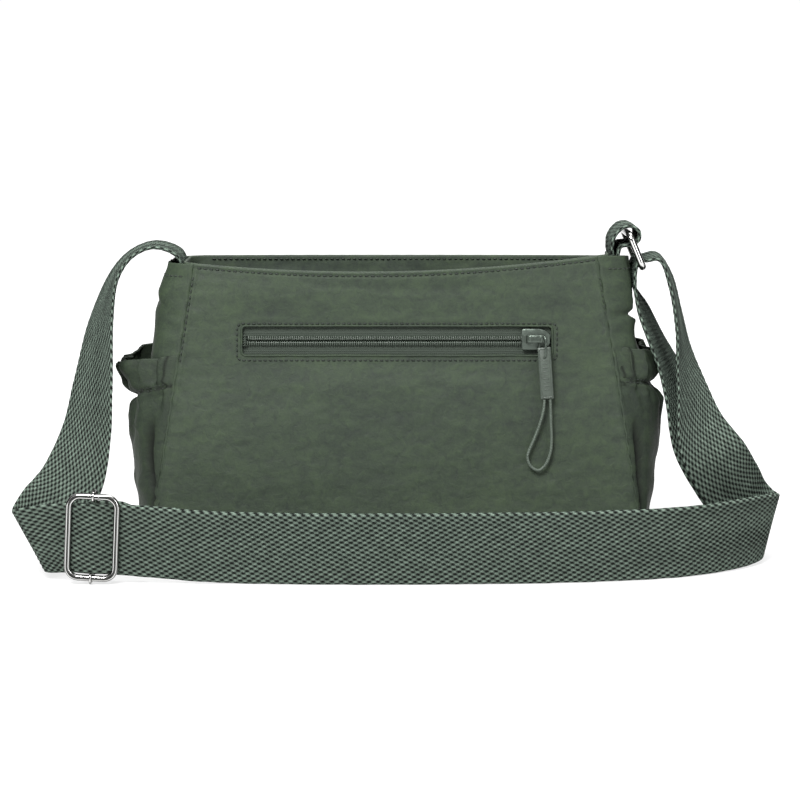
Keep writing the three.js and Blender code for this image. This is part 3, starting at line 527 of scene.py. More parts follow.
def zip_tape_cloth(name, colour):
    """Ribbed zip tape: rows along the zip with a fine herringbone."""
    n = Nodes(name)
    separate = n.add("ShaderNodeSeparateXYZ")
    n.join(n.place(), separate.inputs[0])
    x, y, z = separate.outputs
    across = n.math("ADD", y, z)
    rows = n.math("SINE", n.math("MULTIPLY", across, 2 * math.pi / 0.0016))
    slant = n.math("SINE", n.math("MULTIPLY", n.math("ADD", x, across), 2 * math.pi / 0.0011))
    height = n.weighted((rows, 0.5), (slant, 0.5))
    look = n.ramp(n.math("MULTIPLY_ADD", height, 0.5), (0.0, shade(colour, 0.7)), (1.0, shade(colour, 1.2)))
    return n.finish(look, 0.75, normal=n.bump(height, 0.12), specular=0.3)


def webbing_cloth(name, colour):
    """Heavy plain-weave webbing; the mesh carries along-across coordinates in its weave attribute."""
    n = Nodes(name)
    attribute = n.add("ShaderNodeAttribute", attribute_name="weave")
    separate = n.add("ShaderNodeSeparateXYZ")
    n.join(attribute.outputs["Vector"], separate.inputs[0])
    along, across = separate.outputs[0], separate.outputs[1]
    slant = n.math("MULTIPLY", across, 0.22)
    warp = n.math("COSINE", n.math("MULTIPLY", n.math("ADD", along, slant), 2 * math.pi / WEAVE[0]))
    weft = n.math("COSINE", n.math("MULTIPLY", across, 2 * math.pi / WEAVE[1]))
    cell = n.math("MULTIPLY", warp, weft)
    pit = n.math("POWER", n.math("MULTIPLY", n.math("SUBTRACT", 1.0, cell), 0.5), 2.2)
    crown = n.math("SUBTRACT", 1.0, pit)
    twisted = n.math("ADD", along, n.math("MULTIPLY", across, 0.6))
    yarn = n.math("SINE", n.math("MULTIPLY", twisted, 2 * math.pi / 0.62))
    fuzz = n.noise(1500, 3, 0.7)
    edge = n.math("MAXIMUM", n.math("SUBTRACT", n.math("ABSOLUTE", across), WEB_WIDTH / 2 - 2.0), 0.0)
    # painted highlight and painted shade: the yarns' crowns are coloured up to 2.6 times brighter and the
    # pits between them nearly black; the noise terms are the yarn's own uneven tone
    tone = n.weighted((crown, 0.62), (n.noise(260, 2), 0.18), (fuzz, 0.18), (edge, 0.015))
    look = n.ramp(
        tone, (0.26, shade(colour, 0.02)), (0.56, shade(colour, 0.22)), (0.78, colour),
        (0.95, shade(colour, 2.6)),
    )
    normal = n.bump(crown, 0.85)
    normal = n.bump(yarn, 0.08, normal)
    normal = n.bump(fuzz, 0.10, normal)
    return n.finish(look, 0.85, normal=normal, specular=0.15)


def moulded(name, colour, roughness=0.45, grain=0.05):
    """Moulded or extruded plastic with a slight grain."""
    n = Nodes(name)
    look = n.ramp(n.noise(300, 3), (0.3, shade(colour, 0.85)), (0.7, shade(colour, 1.15)))
    return n.finish(look, roughness, normal=n.bump(n.noise(2500, 2), grain), specular=0.5)


def painted_metal(name, colour):
    """Dyed zip metal, rubbed a little brighter in patches."""
    n = Nodes(name)
    rub = n.noise(420, 4, 0.7)
    look = n.ramp(rub, (0.35, shade(colour, 0.8)), (0.62, colour), (0.8, shade(colour, 1.7)))
    roughness = n.math("ADD", n.math("MULTIPLY", rub, 0.2), 0.22)
    return n.finish(look, roughness, metallic=0.75, normal=n.bump(n.noise(900, 3), 0.03), specular=0.6)


def nickel_painted_reflections(name):
    """Plated wire whose colour follows the way its surface faces: painted highlight lines along its crest and
    flanks with painted dark reflection bands between.
    """
    n = Nodes(name)
    facing = n.add("ShaderNodeSeparateXYZ")
    n.join(n.add("ShaderNodeTexCoord").outputs["Normal"], facing.inputs[0])
    sideways = n.math("ABSOLUTE", facing.outputs[0])
    upward = n.math("ABSOLUTE", facing.outputs[2])
    turn = n.math("MAXIMUM", sideways, upward)
    # painted reflections: bright is a painted highlight, middling and dark are painted half-lit and dark
    # reflections
    bright, middling, dark = (0.78, 0.78, 0.76), (0.36, 0.36, 0.35), (0.03, 0.032, 0.03)
    look = n.ramp(
        turn, (0.0, dark), (0.08, dark), (0.2, bright), (0.42, bright), (0.58, dark), (0.8, middling),
        (1.0, dark),
    )
    roughness = n.math("ADD", n.math("MULTIPLY", n.noise(240, 5, 0.7), 0.08), 0.08)
    return n.finish(look, roughness, metallic=1.0, normal=n.bump(n.noise(1200, 2), 0.006))


NYLON = crinkled_nylon("nylon", (0.0262, 0.0372, 0.0240))
# the pockets' cloth is the panels' nylon with its colour lowered to about four fifths, painted shade for the
# pockets' deep folds
POCKET_NYLON_SHADED = crinkled_nylon("pocket_nylon_painted_shade", (0.0205, 0.0292, 0.0190), 0.30, paints_fold_shade=True)
NYLON_INNER = crinkled_nylon("nylon_inner", (0.040, 0.053, 0.038), 0.14)
LINING = plain_cloth("lining", (0.026, 0.036, 0.027))
TAPE = zip_tape_cloth("zip_tape", (0.030, 0.040, 0.030))
COIL = moulded("zip_coil", (0.036, 0.048, 0.036), 0.35)
THREAD = moulded("thread", (0.009, 0.014, 0.010), 0.7)
SLIDER = painted_metal("slider_metal", (0.085, 0.105, 0.088))
PULL = moulded("pull_tab", (0.045, 0.058, 0.046), 0.40, 0.03)
CORD = moulded("pull_cord", (0.055, 0.072, 0.055), 0.6)
NICKEL = nickel_painted_reflections("nickel")
WEBBING = webbing_cloth("webbing", (0.092, 0.121, 0.098))


# ---- camera, floor and light ------------------------------------------------------------------

def make_camera():
    camera = bpy.data.objects.new("camera", bpy.data.cameras.new("camera"))
    camera.data.lens = 108.45
    camera.data.sensor_width = 36
    camera.data.clip_end = 20
    camera.location = (0.002, -1.350, 0.287)
    camera.rotation_euler = (math.radians(90 - 8.5), 0, 0)
    bpy.context.scene.collection.objects.link(camera)
    bpy.context.scene.camera = camera


def area_light(name, place_m, target, size, power):
    light = bpy.data.lights.new(name, "AREA")
    light.shape = "RECTANGLE"
    light.size, light.size_y = size
    light.energy = power
    lamp = bpy.data.objects.new(name, light)
    lamp.location = place_m
    lamp.rotation_euler = (Vector(target) - Vector(place_m)).to_track_quat("-Z", "Y").to_euler()
    bpy.context.scene.collection.objects.link(lamp)


def make_stage():
    """A flat white floor that glows a little, so only contact shadows show, a studio world and three area
    lights.
    """
    n = Nodes("floor")
    n.shader.inputs["Emission Color"].default_value = (1, 1, 1, 1)
    away = n.add("ShaderNodeVectorMath", operation="LENGTH")
    n.join(n.place(), away.inputs[0])
    glow = n.add("ShaderNodeMapRange")
    for key, value in (("From Min", 0.2), ("From Max", 0.7), ("To Min", 0.74), ("To Max", 1.05)):
        glow.inputs[key].default_value = value
    n.join(away.outputs["Value"], glow.inputs["Value"])
    n.join(glow.outputs["Result"], n.shader.inputs["Emission Strength"])
    n.finish((0.22, 0.22, 0.22), 0.9, specular=0.0)
    mesh = bpy.data.meshes.new("floor")
    reach = 6
    corners = [(-reach, -reach, 0), (reach, -reach, 0), (reach, reach, 0), (-reach, reach, 0)]
    mesh.from_pydata(corners, [], [[0, 1, 2, 3]])
    mesh.materials.append(n.material)
    floor = bpy.data.objects.new("floor", mesh)
    bpy.context.scene.collection.objects.link(floor)
    make_world()
    bpy.context.scene.view_settings.view_transform = "Standard"
    area_light("key", (-0.45, -1.25, 1.35), (0, 0, 0.08), (0.7, 0.7), 58)
    area_light("top", (0.3, 0.2, 1.6), (0, 0, 0.08), (0.9, 0.9), 24)
    area_light("fill", (1.1, -1.3, 0.6), (0, 0, 0.1), (0.6, 0.9), 7)


def make_world():
    """White behind the bag and overhead, a dim room elsewhere for the metal to reflect."""
    world = bpy.data.worlds.new("studio")
    world.use_nodes = True
    tree = world.node_tree
    axes = tree.nodes.new("ShaderNodeSeparateXYZ")
    tree.links.new(tree.nodes.new("ShaderNodeTexCoord").outputs["Generated"], axes.inputs[0])

    def between(socket, start, end, low=0.0, high=1.0):
        node = tree.nodes.new("ShaderNodeMapRange")
        for name, value in (("From Min", start), ("From Max", end), ("To Min", low), ("To Max", high)):
            node.inputs[name].default_value = value
        tree.links.new(socket, node.inputs["Value"])
        return node.outputs["Result"]

    brighter = tree.nodes.new("ShaderNodeMath")
    brighter.operation = "MAXIMUM"
    tree.links.new(between(axes.outputs[1], 0.60, 0.85), brighter.inputs[0])
    tree.links.new(between(axes.outputs[2], 0.45, 0.75, high=0.8), brighter.inputs[1])
    strength = between(brighter.outputs[0], 0, 1, 0.10, 1.02)
    background = tree.nodes["Background"]
    background.inputs["Color"].default_value = (1, 1, 1, 1)
    tree.links.new(strength, background.inputs["Strength"])
    bpy.context.scene.world = world


# ---- webbing ----------------------------------------------------------------------------------

def catmull(points, spans=8):
    """The centripetal curve through the points, a fixed number of steps in each span."""
    p = np.asarray(points, float)
    p = np.vstack([2 * p[0] - p[1], p, 2 * p[-1] - p[-2]])
    rows = []
    t = np.linspace(0, 1, spans, endpoint=False)[:, None]
    for i in range(1, len(p) - 2):
        a, b, c, d = p[i - 1:i + 3]
        d0, d1, d2 = (max(np.linalg.norm(q - r) ** 0.5, 1e-4) for q, r in ((a, b), (b, c), (c, d)))
        m1 = ((b - a) / d0 - (c - a) / (d0 + d1) + (c - b) / d1) * d1
        m2 = ((c - b) / d1 - (d - b) / (d1 + d2) + (d - c) / d2) * d1
        rows.append(b + m1 * t + (-3 * b + 3 * c - 2 * m1 - m2) * t ** 2 + (2 * b - 2 * c + m1 + m2) * t ** 3)
    return np.vstack([*rows, p[-2:-1]])


def band_frames(keys, step):
    """Middles, width vectors and face normals at even steps along a band through the keys."""
    near = catmull([k[0] for k in keys])
    far = catmull([k[1] for k in keys])
    both = resample((near + far) / 2, step, np.hstack([near, far]))
    near, far = both[:, :3], both[:, 3:]
    middle = (near + far) / 2
    width = unit(far - near)
    along = unit(np.gradient(middle, axis=0))
    face = unit(np.cross(along, width))
    return middle, width, face


def band_section(half_width_mm):
    """Places across the band and the half thickness there: flat, with rounded selvedges."""
    count = int(round(2 * half_width_mm / (WEAVE[1] / 4)))
    across = np.linspace(-half_width_mm, half_width_mm, count + 1)
    edge = np.clip((np.abs(across) - (half_width_mm - SELVEDGE)) / SELVEDGE, 0, 1)
    return across, (WEB_HALF_THICK - 0.22) * np.sqrt(np.maximum(1 - edge ** 2, 0.03))


def yarn_crown(weave):
    """Broad rounded yarns with narrow pits between them, from a plain chequer wave."""
    return 1 - 2 * ((1 - weave) / 2) ** 2.2


def band_mesh(name, keys, phase=0.0, half=WEB_WIDTH / 2):
    """Webbing as one closed mesh with its weave as relief; returns it and its centre line."""
    middle, width, face = band_frames(keys, WEAVE[0] / WEAVE_STEPS)
    count = len(middle)
    along = np.arange(count) * WEAVE[0] / WEAVE_STEPS + phase
    across, thick = band_section(half)
    wobble = 0.10 * noise(along[:, None] / 9, across[None, :] / 7, 5)
    weave = np.cos(2 * math.pi * along[:, None] / WEAVE[0]) * np.cos(2 * math.pi * across[None, :] / WEAVE[1])
    inner = 1 - np.clip((np.abs(across) - half + 1.2) / 1.2, 0, 1)[None, :]
    height = thick[None, :] + WEAVE_RELIEF * (yarn_crown(weave) + wobble) * inner
    lower = thick[None, :] + WEAVE_RELIEF * (yarn_crown(-weave) + wobble) * inner
    sway = 0.15 * noise(along / 6, 0.0, 8)
    base = middle[:, None] + width[:, None] * (across[None, :, None] + sway[:, None, None])
    top = base + face[:, None] * height[..., None]
    bottom = (base - face[:, None] * lower[..., None])[:, ::-1]
    rings = np.concatenate([top, bottom], 1)
    points, faces = sweep(rings)
    piece = mesh_object(name, [(points, faces)], WEBBING)
    attribute = piece.data.attributes.new("weave", "FLOAT_VECTOR", "POINT")
    both = np.concatenate([across, across[::-1]])
    side = np.concatenate([np.zeros_like(across), np.ones_like(across)])
    shifted = along[:, None] + side[None] * WEAVE[0] / 2
    values = np.stack(np.broadcast_arrays(shifted, both[None], side[None]), -1)
    attribute.data.foreach_set("vector", values.astype(np.float32).ravel())
    return piece, middle


def upright(x, y, z):
    """The two edges of webbing that stands on edge."""
    return ((x, y, z), (x, y, z + WEB_WIDTH))


def level(x, z):
    """The two edges of webbing that runs across the bag's depth."""
    return ((x, -WEB_WIDTH / 2, z), (x, WEB_WIDTH / 2, z))


def run_y(x):
    """Depth of the strap's stretch through the adjuster."""
    return ADJUSTER[1] + (x - ADJUSTER[0]) * RUN_SLOPE


STRAP_LIFT = 5.5                 # height of the strap's lower edge near the adjuster
BAR_WRAP = 3.2                   # from the middle of the ring's wire to that of the webbing round it
LAYER_STEP = 2.8                 # between the middles of two layers
LOOP_REACH = 2.9                 # radius of the sewn end's turn round the adjuster's bar
BAR_Y = ADJUSTER[1] + 2.3 + LOOP_REACH
TAIL_LEFT = -119.4

# Each key is the strap's two edges, the front or lower one first. The keys run from the left gusset
# to the ring; INNER_RISE is the long length's own last stretch, inside the layer that comes back down.
LEFT_RISE = [
    level(TAIL_LEFT, 150),
    level(TAIL_LEFT, 161),
    ((-121.4, -19, 168), (-121.6, 19, 168.2)),
    ((-128.5, -19, 172.2), (-129, 19, 172.4)),
    ((-137, -19, 172.8), (-138.6, 19, 173.4)),
    ((-147.1, -20, 167.4), (-150.6, 17.5, 168.6)),
    ((-154.4, -22, 155.6), (-161, 14.5, 157.8)),
    ((-156.7, -28, 134.1), (-173.3, 5, 130.2)),
    ((-156.4, -38, 102), (-179.5, -9, 103.2)),
    ((-156.4, -50, 70.6), (-185.8, -27, 73.4)),
    ((-160, -62, 45.1), (-194.4, -48.5, 54.5)),
    ((-174, -73, 22.5), (-200.9, -66, 45.5)),
    ((-187.6, -80.6, 4.6), (-206.2, -78.4, 37.6)),
    ((-187.2, -85, 4.6), (-203, -83.6, 38.6)),
    ((-178, -88.9, STRAP_LIFT), (-186.5, -88.7, 42)),
]
FRONT_RUN = [
    upright(-166, run_y(-166), 5.8),
    upright(-146, run_y(-146), 4.6),
    upright(-98, run_y(-98), 0.9),
    upright(-46, -96.2, 0.4),
    upright(6, -96.6, 0.4),
    upright(52, -95, 0.4),
    upright(94, -91.6, 0.4),
    upright(131, -85.2, 0.4),
]
RIGHT_TURN = [
    upright(160, -74.5, 0.4),
    ((180.5, -61, 0.4), (183.5, -57.5, 38.6)),
    ((193.5, -49, 0.5), (199.5, -41, 38.8)),
    ((199, -41, 0.8), (210, -26, 39)),
    ((197.5, -35.5, 2.2), (212.3, -17.5, 39.8)),
    ((193.5, -29, 7), (208, -15.4, 42.4)),
    ((180.2, -33, 21.5), (203, -20.2, 51)),
]
RIGHT_RISE = [
    ((163, -41.5, 47.4), (193.1, -28.5, 65.3)),
    ((155.2, -42, 67.3), (182, -17.5, 80.1)),
    ((155.2, -37, 91), (173.2, -4.5, 98.3)),
    ((155.4, -30, 109.5), (166, 3, 114.8)),
    ((155.3, -24, 128.1), (161.6, 12, 134.3)),
    ((151.5, -20, 152), (155.6, 16.5, 156.4)),
    ((145.8, -19, 166.2), (147.4, 19, 167.2)),
    level(RING_FOOT[0] + 1.6, RING_FOOT[1] + BAR_WRAP),
]
INNER_RISE = [
    ((139.4, -26, 122.7), (149.5, 10, 124.4)),
    ((134, -23, 138.5), (142.5, 13.5, 138)),
    ((132.4, -20, 152), (133.6, 18, 151.5)),
    level(RING_FOOT[0] - BAR_WRAP, RING_FOOT[1]),
    level(RING_FOOT[0] - 1.8, RING_FOOT[1] + 2.7),
    level(RING_FOOT[0] + 0.9, RING_FOOT[1] + BAR_WRAP),
]
TURN_START = len(LEFT_RISE) + len(FRONT_RUN)
SPLIT_X = 131                    # the return layer is parted behind this key of the front run
LOOP_JOIN_LIFT = 2.6
LOOP_JOIN_X = -120               # and again here, where its sewn end begins


def layer_beside(keys, first, distances):
    """The keys from the first one on, each moved off the band's face by its own distance."""
    middles = [(np.array(a) + np.array(b)) / 2 for a, b in keys]
    moved_keys = []
    for i, distance in enumerate(distances):
        near, far = (np.array(edge) for edge in keys[first + i])
        along = middles[first + i + 1] - middles[first + i - 1]
        shift = unit(np.cross(along, far - near)) * distance
        moved_keys.append((near + shift, far + shift))
    return moved_keys


def blend_to_ring(piece):
    """Bakes the piece's placement into its mesh."""
    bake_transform(piece)


def make_strap():
    """The long length up to the ring's top, and the layer that comes back down beside it."""
    whole = [*LEFT_RISE, *FRONT_RUN, *RIGHT_TURN, *RIGHT_RISE]
    outside = [LAYER_STEP * k for k in (0.4, 0.8, 1, 1.1, 1.4, 1.7, 1.9, 2.1, 2.2, 2.8, 3.8)]
    first = [*whole[:TURN_START], *layer_beside(whole, TURN_START, outside), *INNER_RISE]
    strap, line = band_mesh("strap_long_length", first)
    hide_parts("shoulder_strap")
    blend_to_ring(strap)

    # the layer that comes back down: from the ring to the split, then along the floor, then its sewn end
    run_start = len(LEFT_RISE) + 2
    behind = layer_beside(whole, run_start, [-LAYER_STEP] * (TURN_START - run_start) + [-1.7, -0.6])
    split = next(i for i, key in enumerate(behind) if key[0][0] > SPLIT_X - 1)
    rise = [*behind[split:], *whole[TURN_START + 2:]][::-1]
    upper, line = band_mesh("strap_return_rise", rise, phase=1.3)
    blend_to_ring(upper)
    y_join = run_y(LOOP_JOIN_X) + LAYER_STEP
    run = [*behind[:split + 1][::-1], upright(LOOP_JOIN_X, y_join, LOOP_JOIN_LIFT)]
    run = [key for key in run if key[0][0] >= LOOP_JOIN_X - 0.1]
    lower, line = band_mesh("strap_return_run", run, phase=0.4)
    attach(lower, "bag")
    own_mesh(lower)

    end, _ = band_mesh("strap_sewn_end", bar_loop(), phase=2.1)
    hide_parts("shoulder_strap_return")
    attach(end, "adjuster_frame")


def leaning(x, y):
    """An upright key that leans with the adjuster."""
    heights = (STRAP_LIFT, STRAP_LIFT + WEB_WIDTH)
    return tuple((x + (z - ADJUSTER[2]) * ADJUSTER_LEAN, y, z) for z in heights)


def bar_loop():
    """The webbing's end, folded round the adjuster's bar and sewn back on itself."""
    turn = []
    for i in range(7):
        angle = math.pi * (1.5 - i / 6)
        x = ADJUSTER[0] + LOOP_REACH * math.cos(angle)
        turn.append(leaning(x, BAR_Y + LOOP_REACH * math.sin(angle)))
    near_y = BAR_Y - LOOP_REACH
    tail_y = near_y + 2.7
    return [
        upright(LOOP_JOIN_X + 3, run_y(LOOP_JOIN_X) + LAYER_STEP, LOOP_JOIN_LIFT),
        upright(ADJUSTER[0] + 22, near_y, 4.2),
        *turn,
        leaning(ADJUSTER[0] + 8, near_y + 2 * LOOP_REACH - 0.6),
        leaning(ADJUSTER[0] + 14, near_y + 2.9),
        ((ADJUSTER[0] + 29, tail_y, 2.2), (ADJUSTER[0] + 21.5, tail_y, 42.5)),
    ]


def make_ring_tab():
    """A short webbing tab, folded over the ring's upper bar and sewn to the right gusset."""
    bar = RING_TOP[0]
    keys = [
        (120.6, 150), (120.6, 165), (119.6, 171), (120.2, 178), (bar - 3.8, 184.0), (bar + 1, 184.9),
        (bar + 5.4, 182.2), (bar + 5.4, 177.4), (bar + 1, 174.6), (124.6, 173.8), (123, 170), (122.9, 158),
        (122.9, 150),
    ]
    piece, _ = band_mesh("ring_tab_webbing", [level(x, z) for x, z in keys], phase=0.7)
    place(piece, "bag", "webbing", "ring_tab")


make_camera()
make_stage()
make_strap()
make_ring_tab()


# ---- panels, gussets and base -----------------------------------------------------------------

FRONT_SEED, BACK_SEED = 11, 40
FAN_FROM = 138                   # grid rows follow the rim above this place up the slope


def window_distance(x, s):
    """How far a place on the front panel is outside the zip window's edge."""
    dx = np.maximum(np.abs(x - ZIP_X) - WINDOW[0] - WELT, 0)
    ds = np.maximum(np.abs(s - ZIP_S) - WINDOW[1] - WELT, 0)
    return np.hypot(dx, ds)


def panel_relief(x, s, top, edge, seed):
    """How far the cloth stands off the flat panel: crown, folds, puckers at the seams, hem."""
    from_side = np.maximum(edge - np.abs(x), 0)
    from_top = np.maximum(top - s, 0)
    crown = 1.1 * (1 - (np.abs(x) / edge) ** 3)
    folds = 1.2 * fractal(x / 95, s / 55, seed, 2) + 0.26 * fractal(x / 32, s / 20, seed + 3)
    sharp = 0.16 * (creases(x / 40, s / 20, seed + 5) - 0.3) + 0.06 * (creases(x / 12, s / 9, seed + 6) - 0.3)
    fine = 0.05 * fractal(x / 4, s / 3.0, seed + 8, 2)
    pucker = np.sin(s / 1.55 + 2.2 * noise(s / 11, 0, seed + 1)) * (0.12 * np.exp(-from_side / 7))
    gather = np.sin(x / 1.5 + 2.2 * noise(x / 9, 0, seed + 2)) * (0.12 * np.exp(-from_top / 5))
    calm = smooth(from_side / 9) * smooth((from_top - 3) / 8)
    relief = crown + (folds + sharp) * calm + fine + pucker + gather
    relief = relief - 0.4 * np.exp(-((from_side / 0.8) ** 2)) + 0.25 * hump(from_side, 2.2, 0.8)
    return relief + 0.3 * hump(from_top, 0.8, 0.6) - 0.4 * hump(from_top, RIM_STITCH_DROP, 0.6)


def panel_grid(back):
    """Grid lines that run straight round the zip window and fan out to the panel's edges."""
    still = 92
    outer = np.linspace(0, 1, 52)[1:]
    middle = np.linspace(-still, still, 184)
    window = [ZIP_X - WINDOW[0] - 0.4, ZIP_X + WINDOW[0] + 0.4]
    for edge in window:
        middle[np.argmin(np.abs(middle - edge))] = edge
    rows = np.linspace(FOOT, FAN_FROM, 150)
    for edge in (ZIP_S - WINDOW[1] - 0.4, ZIP_S + WINDOW[1] + 0.4):
        rows[np.argmin(np.abs(rows - edge))] = edge
    upper = np.linspace(0, 1, 32)[1:]
    columns = np.concatenate([-1 - outer[::-1], middle / still, 1 + outer])
    levels = np.concatenate([rows, FAN_FROM + upper])
    c, r = np.meshgrid(columns, levels)
    inside = np.clip(c, -1, 1) * still
    share = np.sign(c) * np.maximum(np.abs(c) - 1, 0)
    x, s = inside, np.minimum(r, FAN_FROM)
    for _ in range(3):    # the width and the rim's height depend on each other
        x = inside + share * (half_width(s * math.cos(LEAN)) - still)
        rim = (BACK_RIM if back else front_rim(x)) / math.cos(LEAN)
        s = np.minimum(r, FAN_FROM) + np.maximum(r - FAN_FROM, 0) * (rim - FAN_FROM)
    return x, s, rim


def make_panel(back=False):
    x, s, rim = panel_grid(back)
    edge = half_width(s * math.cos(LEAN))
    relief = panel_relief(x, s, rim, edge, BACK_SEED if back else FRONT_SEED)
    hole = None
    if not back:
        away = window_distance(x, s)
        relief = relief * smooth((away - 2) / 16) + 0.12 * fractal(x / 5, s / 3, 3, 2)
        relief = relief - 0.3 * hump(away, 0.8, 0.5)
        cx = (x[:-1, :-1] + x[1:, 1:]) / 2
        cs = (s[:-1, :-1] + s[1:, 1:]) / 2
        hole = (np.abs(cx - ZIP_X) < WINDOW[0] + 0.4) & (np.abs(cs - ZIP_S) < WINDOW[1] + 0.4)
    points = on_panel(x, s, relief, back)
    faces = grid_faces(*x.shape, skip=hole)
    name = "back_panel" if back else "front_panel"
    place(mesh_object(name + "_cloth", [(points, faces)], NYLON, 1.1), "bag", "nylon", name)


def make_panel_stitches():
    """Topstitching: along the rims, down the upper part of the front seams and round the zip window."""
    parts = []
    for back in (False, True):
        x = np.linspace(-RIM_HALF[0] + 1.5, RIM_HALF[0] - 1.5, 260)
        rim = BACK_RIM + 0 * x if back else front_rim(x)
        s = rim / math.cos(LEAN) - RIM_STITCH_DROP
        edge = half_width(s * math.cos(LEAN))
        n = panel_relief(x, s, rim / math.cos(LEAN), edge, BACK_SEED if back else FRONT_SEED) + 0.38
        out = FRONT_OUT * (np.array([1, -1, 1]) if back else 1)
        parts += stitches(on_panel(x, s, n, back), out, 3.3, radius=0.38)
    for side, lowest, radius in ((-1, 112, 0.36), (1, 138, 0.2)):
        s = np.linspace(lowest, 160, 120)
        edge = half_width(s * math.cos(LEAN))
        x = side * (edge - SEAM_STITCH_INSET)
        n = panel_relief(x, s, 170, edge, FRONT_SEED)
        parts += stitches(on_panel(x, s, n + 0.35), FRONT_OUT, 3.4, radius=radius)
    loop = rounded_loop((ZIP_X, ZIP_S - 0.6, 0), (1, 0, 0), WINDOW[0] + 3.1, (0, 1, 0), WINDOW[1] + 2.5, 1.2)
    loop = resample(np.vstack([loop, loop[:1]]), 1.5)
    parts += stitches(on_panel(loop[:, 0], loop[:, 1], 0.34), FRONT_OUT, 2.9, radius=0.38)
    place(mesh_object("panel_stitches", parts, THREAD), "bag", "nylon")


def gusset_surface(y, z, side, seed):
    """The gusset's reach with its folds, gathers and dents."""
    across = np.abs(y) / half_depth(z)
    reach = gusset_reach(y, z, side)
    swell = 1 - np.clip(across, 0, 1) ** 4
    folds = 2.0 * fractal(y / 26, z / 30, seed, 2) + 1.1 * (creases(y / 16, z / 24, seed + 4) - 0.35)
    rim_gather = 0.8 * np.sin(y / 1.7 + 2 * noise(y / 9, z / 30, seed + 2)) * smooth((z - 150) / 14)
    seam = 0.5 * np.sin(z / 1.6 + 2 * noise(z / 10, 0, seed + 7)) * hump(across, 0.93, 0.08)
    reach = reach + (folds + rim_gather) * swell + seam
    if side > 0:
        reach = reach - 3.6 * hump(z, 134.5 - 0.10 * y, 1.9) * swell - 2.6 * hump(z, 123, 8) * swell
        reach = reach + 1.0 * hump(z, 155, 8) * swell
    else:
        reach = reach - 4.0 * smooth((z - 148) / 16) * swell - 1.2 * hump(z, 146 + 0.2 * y, 3.0) * swell
    return reach + 0.12 * fractal(y / 4, z / 3, seed + 8, 2)


def make_gusset(name, side, seed):
    """One side of the bag, with the row of stitches below its rim."""
    u, v = np.meshgrid(np.linspace(0, 1, 110), np.linspace(0, 1, 190))
    top = mix(front_rim(side * RIM_HALF[0]), BACK_RIM, u)
    z = mix(FOOT, top, v)
    y = (2 * u - 1) * (half_depth(z) - 0.1)
    reach = gusset_surface(y, z, side, seed) - 0.3 * hump(np.abs(y) / half_depth(z), 1, 0.02)
    points = np.stack([side * reach, y, z], -1)
    faces = grid_faces(*u.shape, flip=side < 0)
    place(mesh_object(name + "_cloth", [(points, faces)], NYLON, 1.1), "bag", "nylon", name)
    line_y = np.linspace(-half_depth(158) + 2, half_depth(158) - 2, 80)
    rim = mix(front_rim(side * RIM_HALF[0]), BACK_RIM, (line_y / half_depth(158) + 1) / 2)
    line_z = rim - 7
    line = np.stack([side * (gusset_surface(line_y, line_z, side, seed) + 0.1), line_y, line_z], -1)
    row = mesh_object(name + "_stitches", stitches(line, (side, 0, 0), 3.3), THREAD)
    place(row, "bag", "nylon")


def make_base():
    """The flat bottom, with rounded lower edges that turn up to the seams."""
    rings = []
    for z, grow in ((0.0, -1.6), (0.0, -0.6), (0.3, 0.2), (1.1, 0.5), (2.0, 0.4), (2.6, -0.4)):
        ring = []
        for side in (1, -1):
            for i in range(41):
                y = side * mix(-1, 1, i / 40) * (BASE_HALF[1] - 1 + grow)
                reach = gusset_reach(np.clip(y, -49, 49), 2.0, side) + grow
                ring.append((side * reach, y, z))
        rings.append(ring)
    points, faces = sweep(rings)
    place(mesh_object("bottom_cloth", [(points, faces)], NYLON_INNER), "bag", "nylon_inner", "bottom_panel")


# ---- side pockets -----------------------------------------------------------------------------

def gather_line(t, side):
    """Height of the line where the elastic gathers the pocket."""
    return mix(*GATHER[side], t * t)


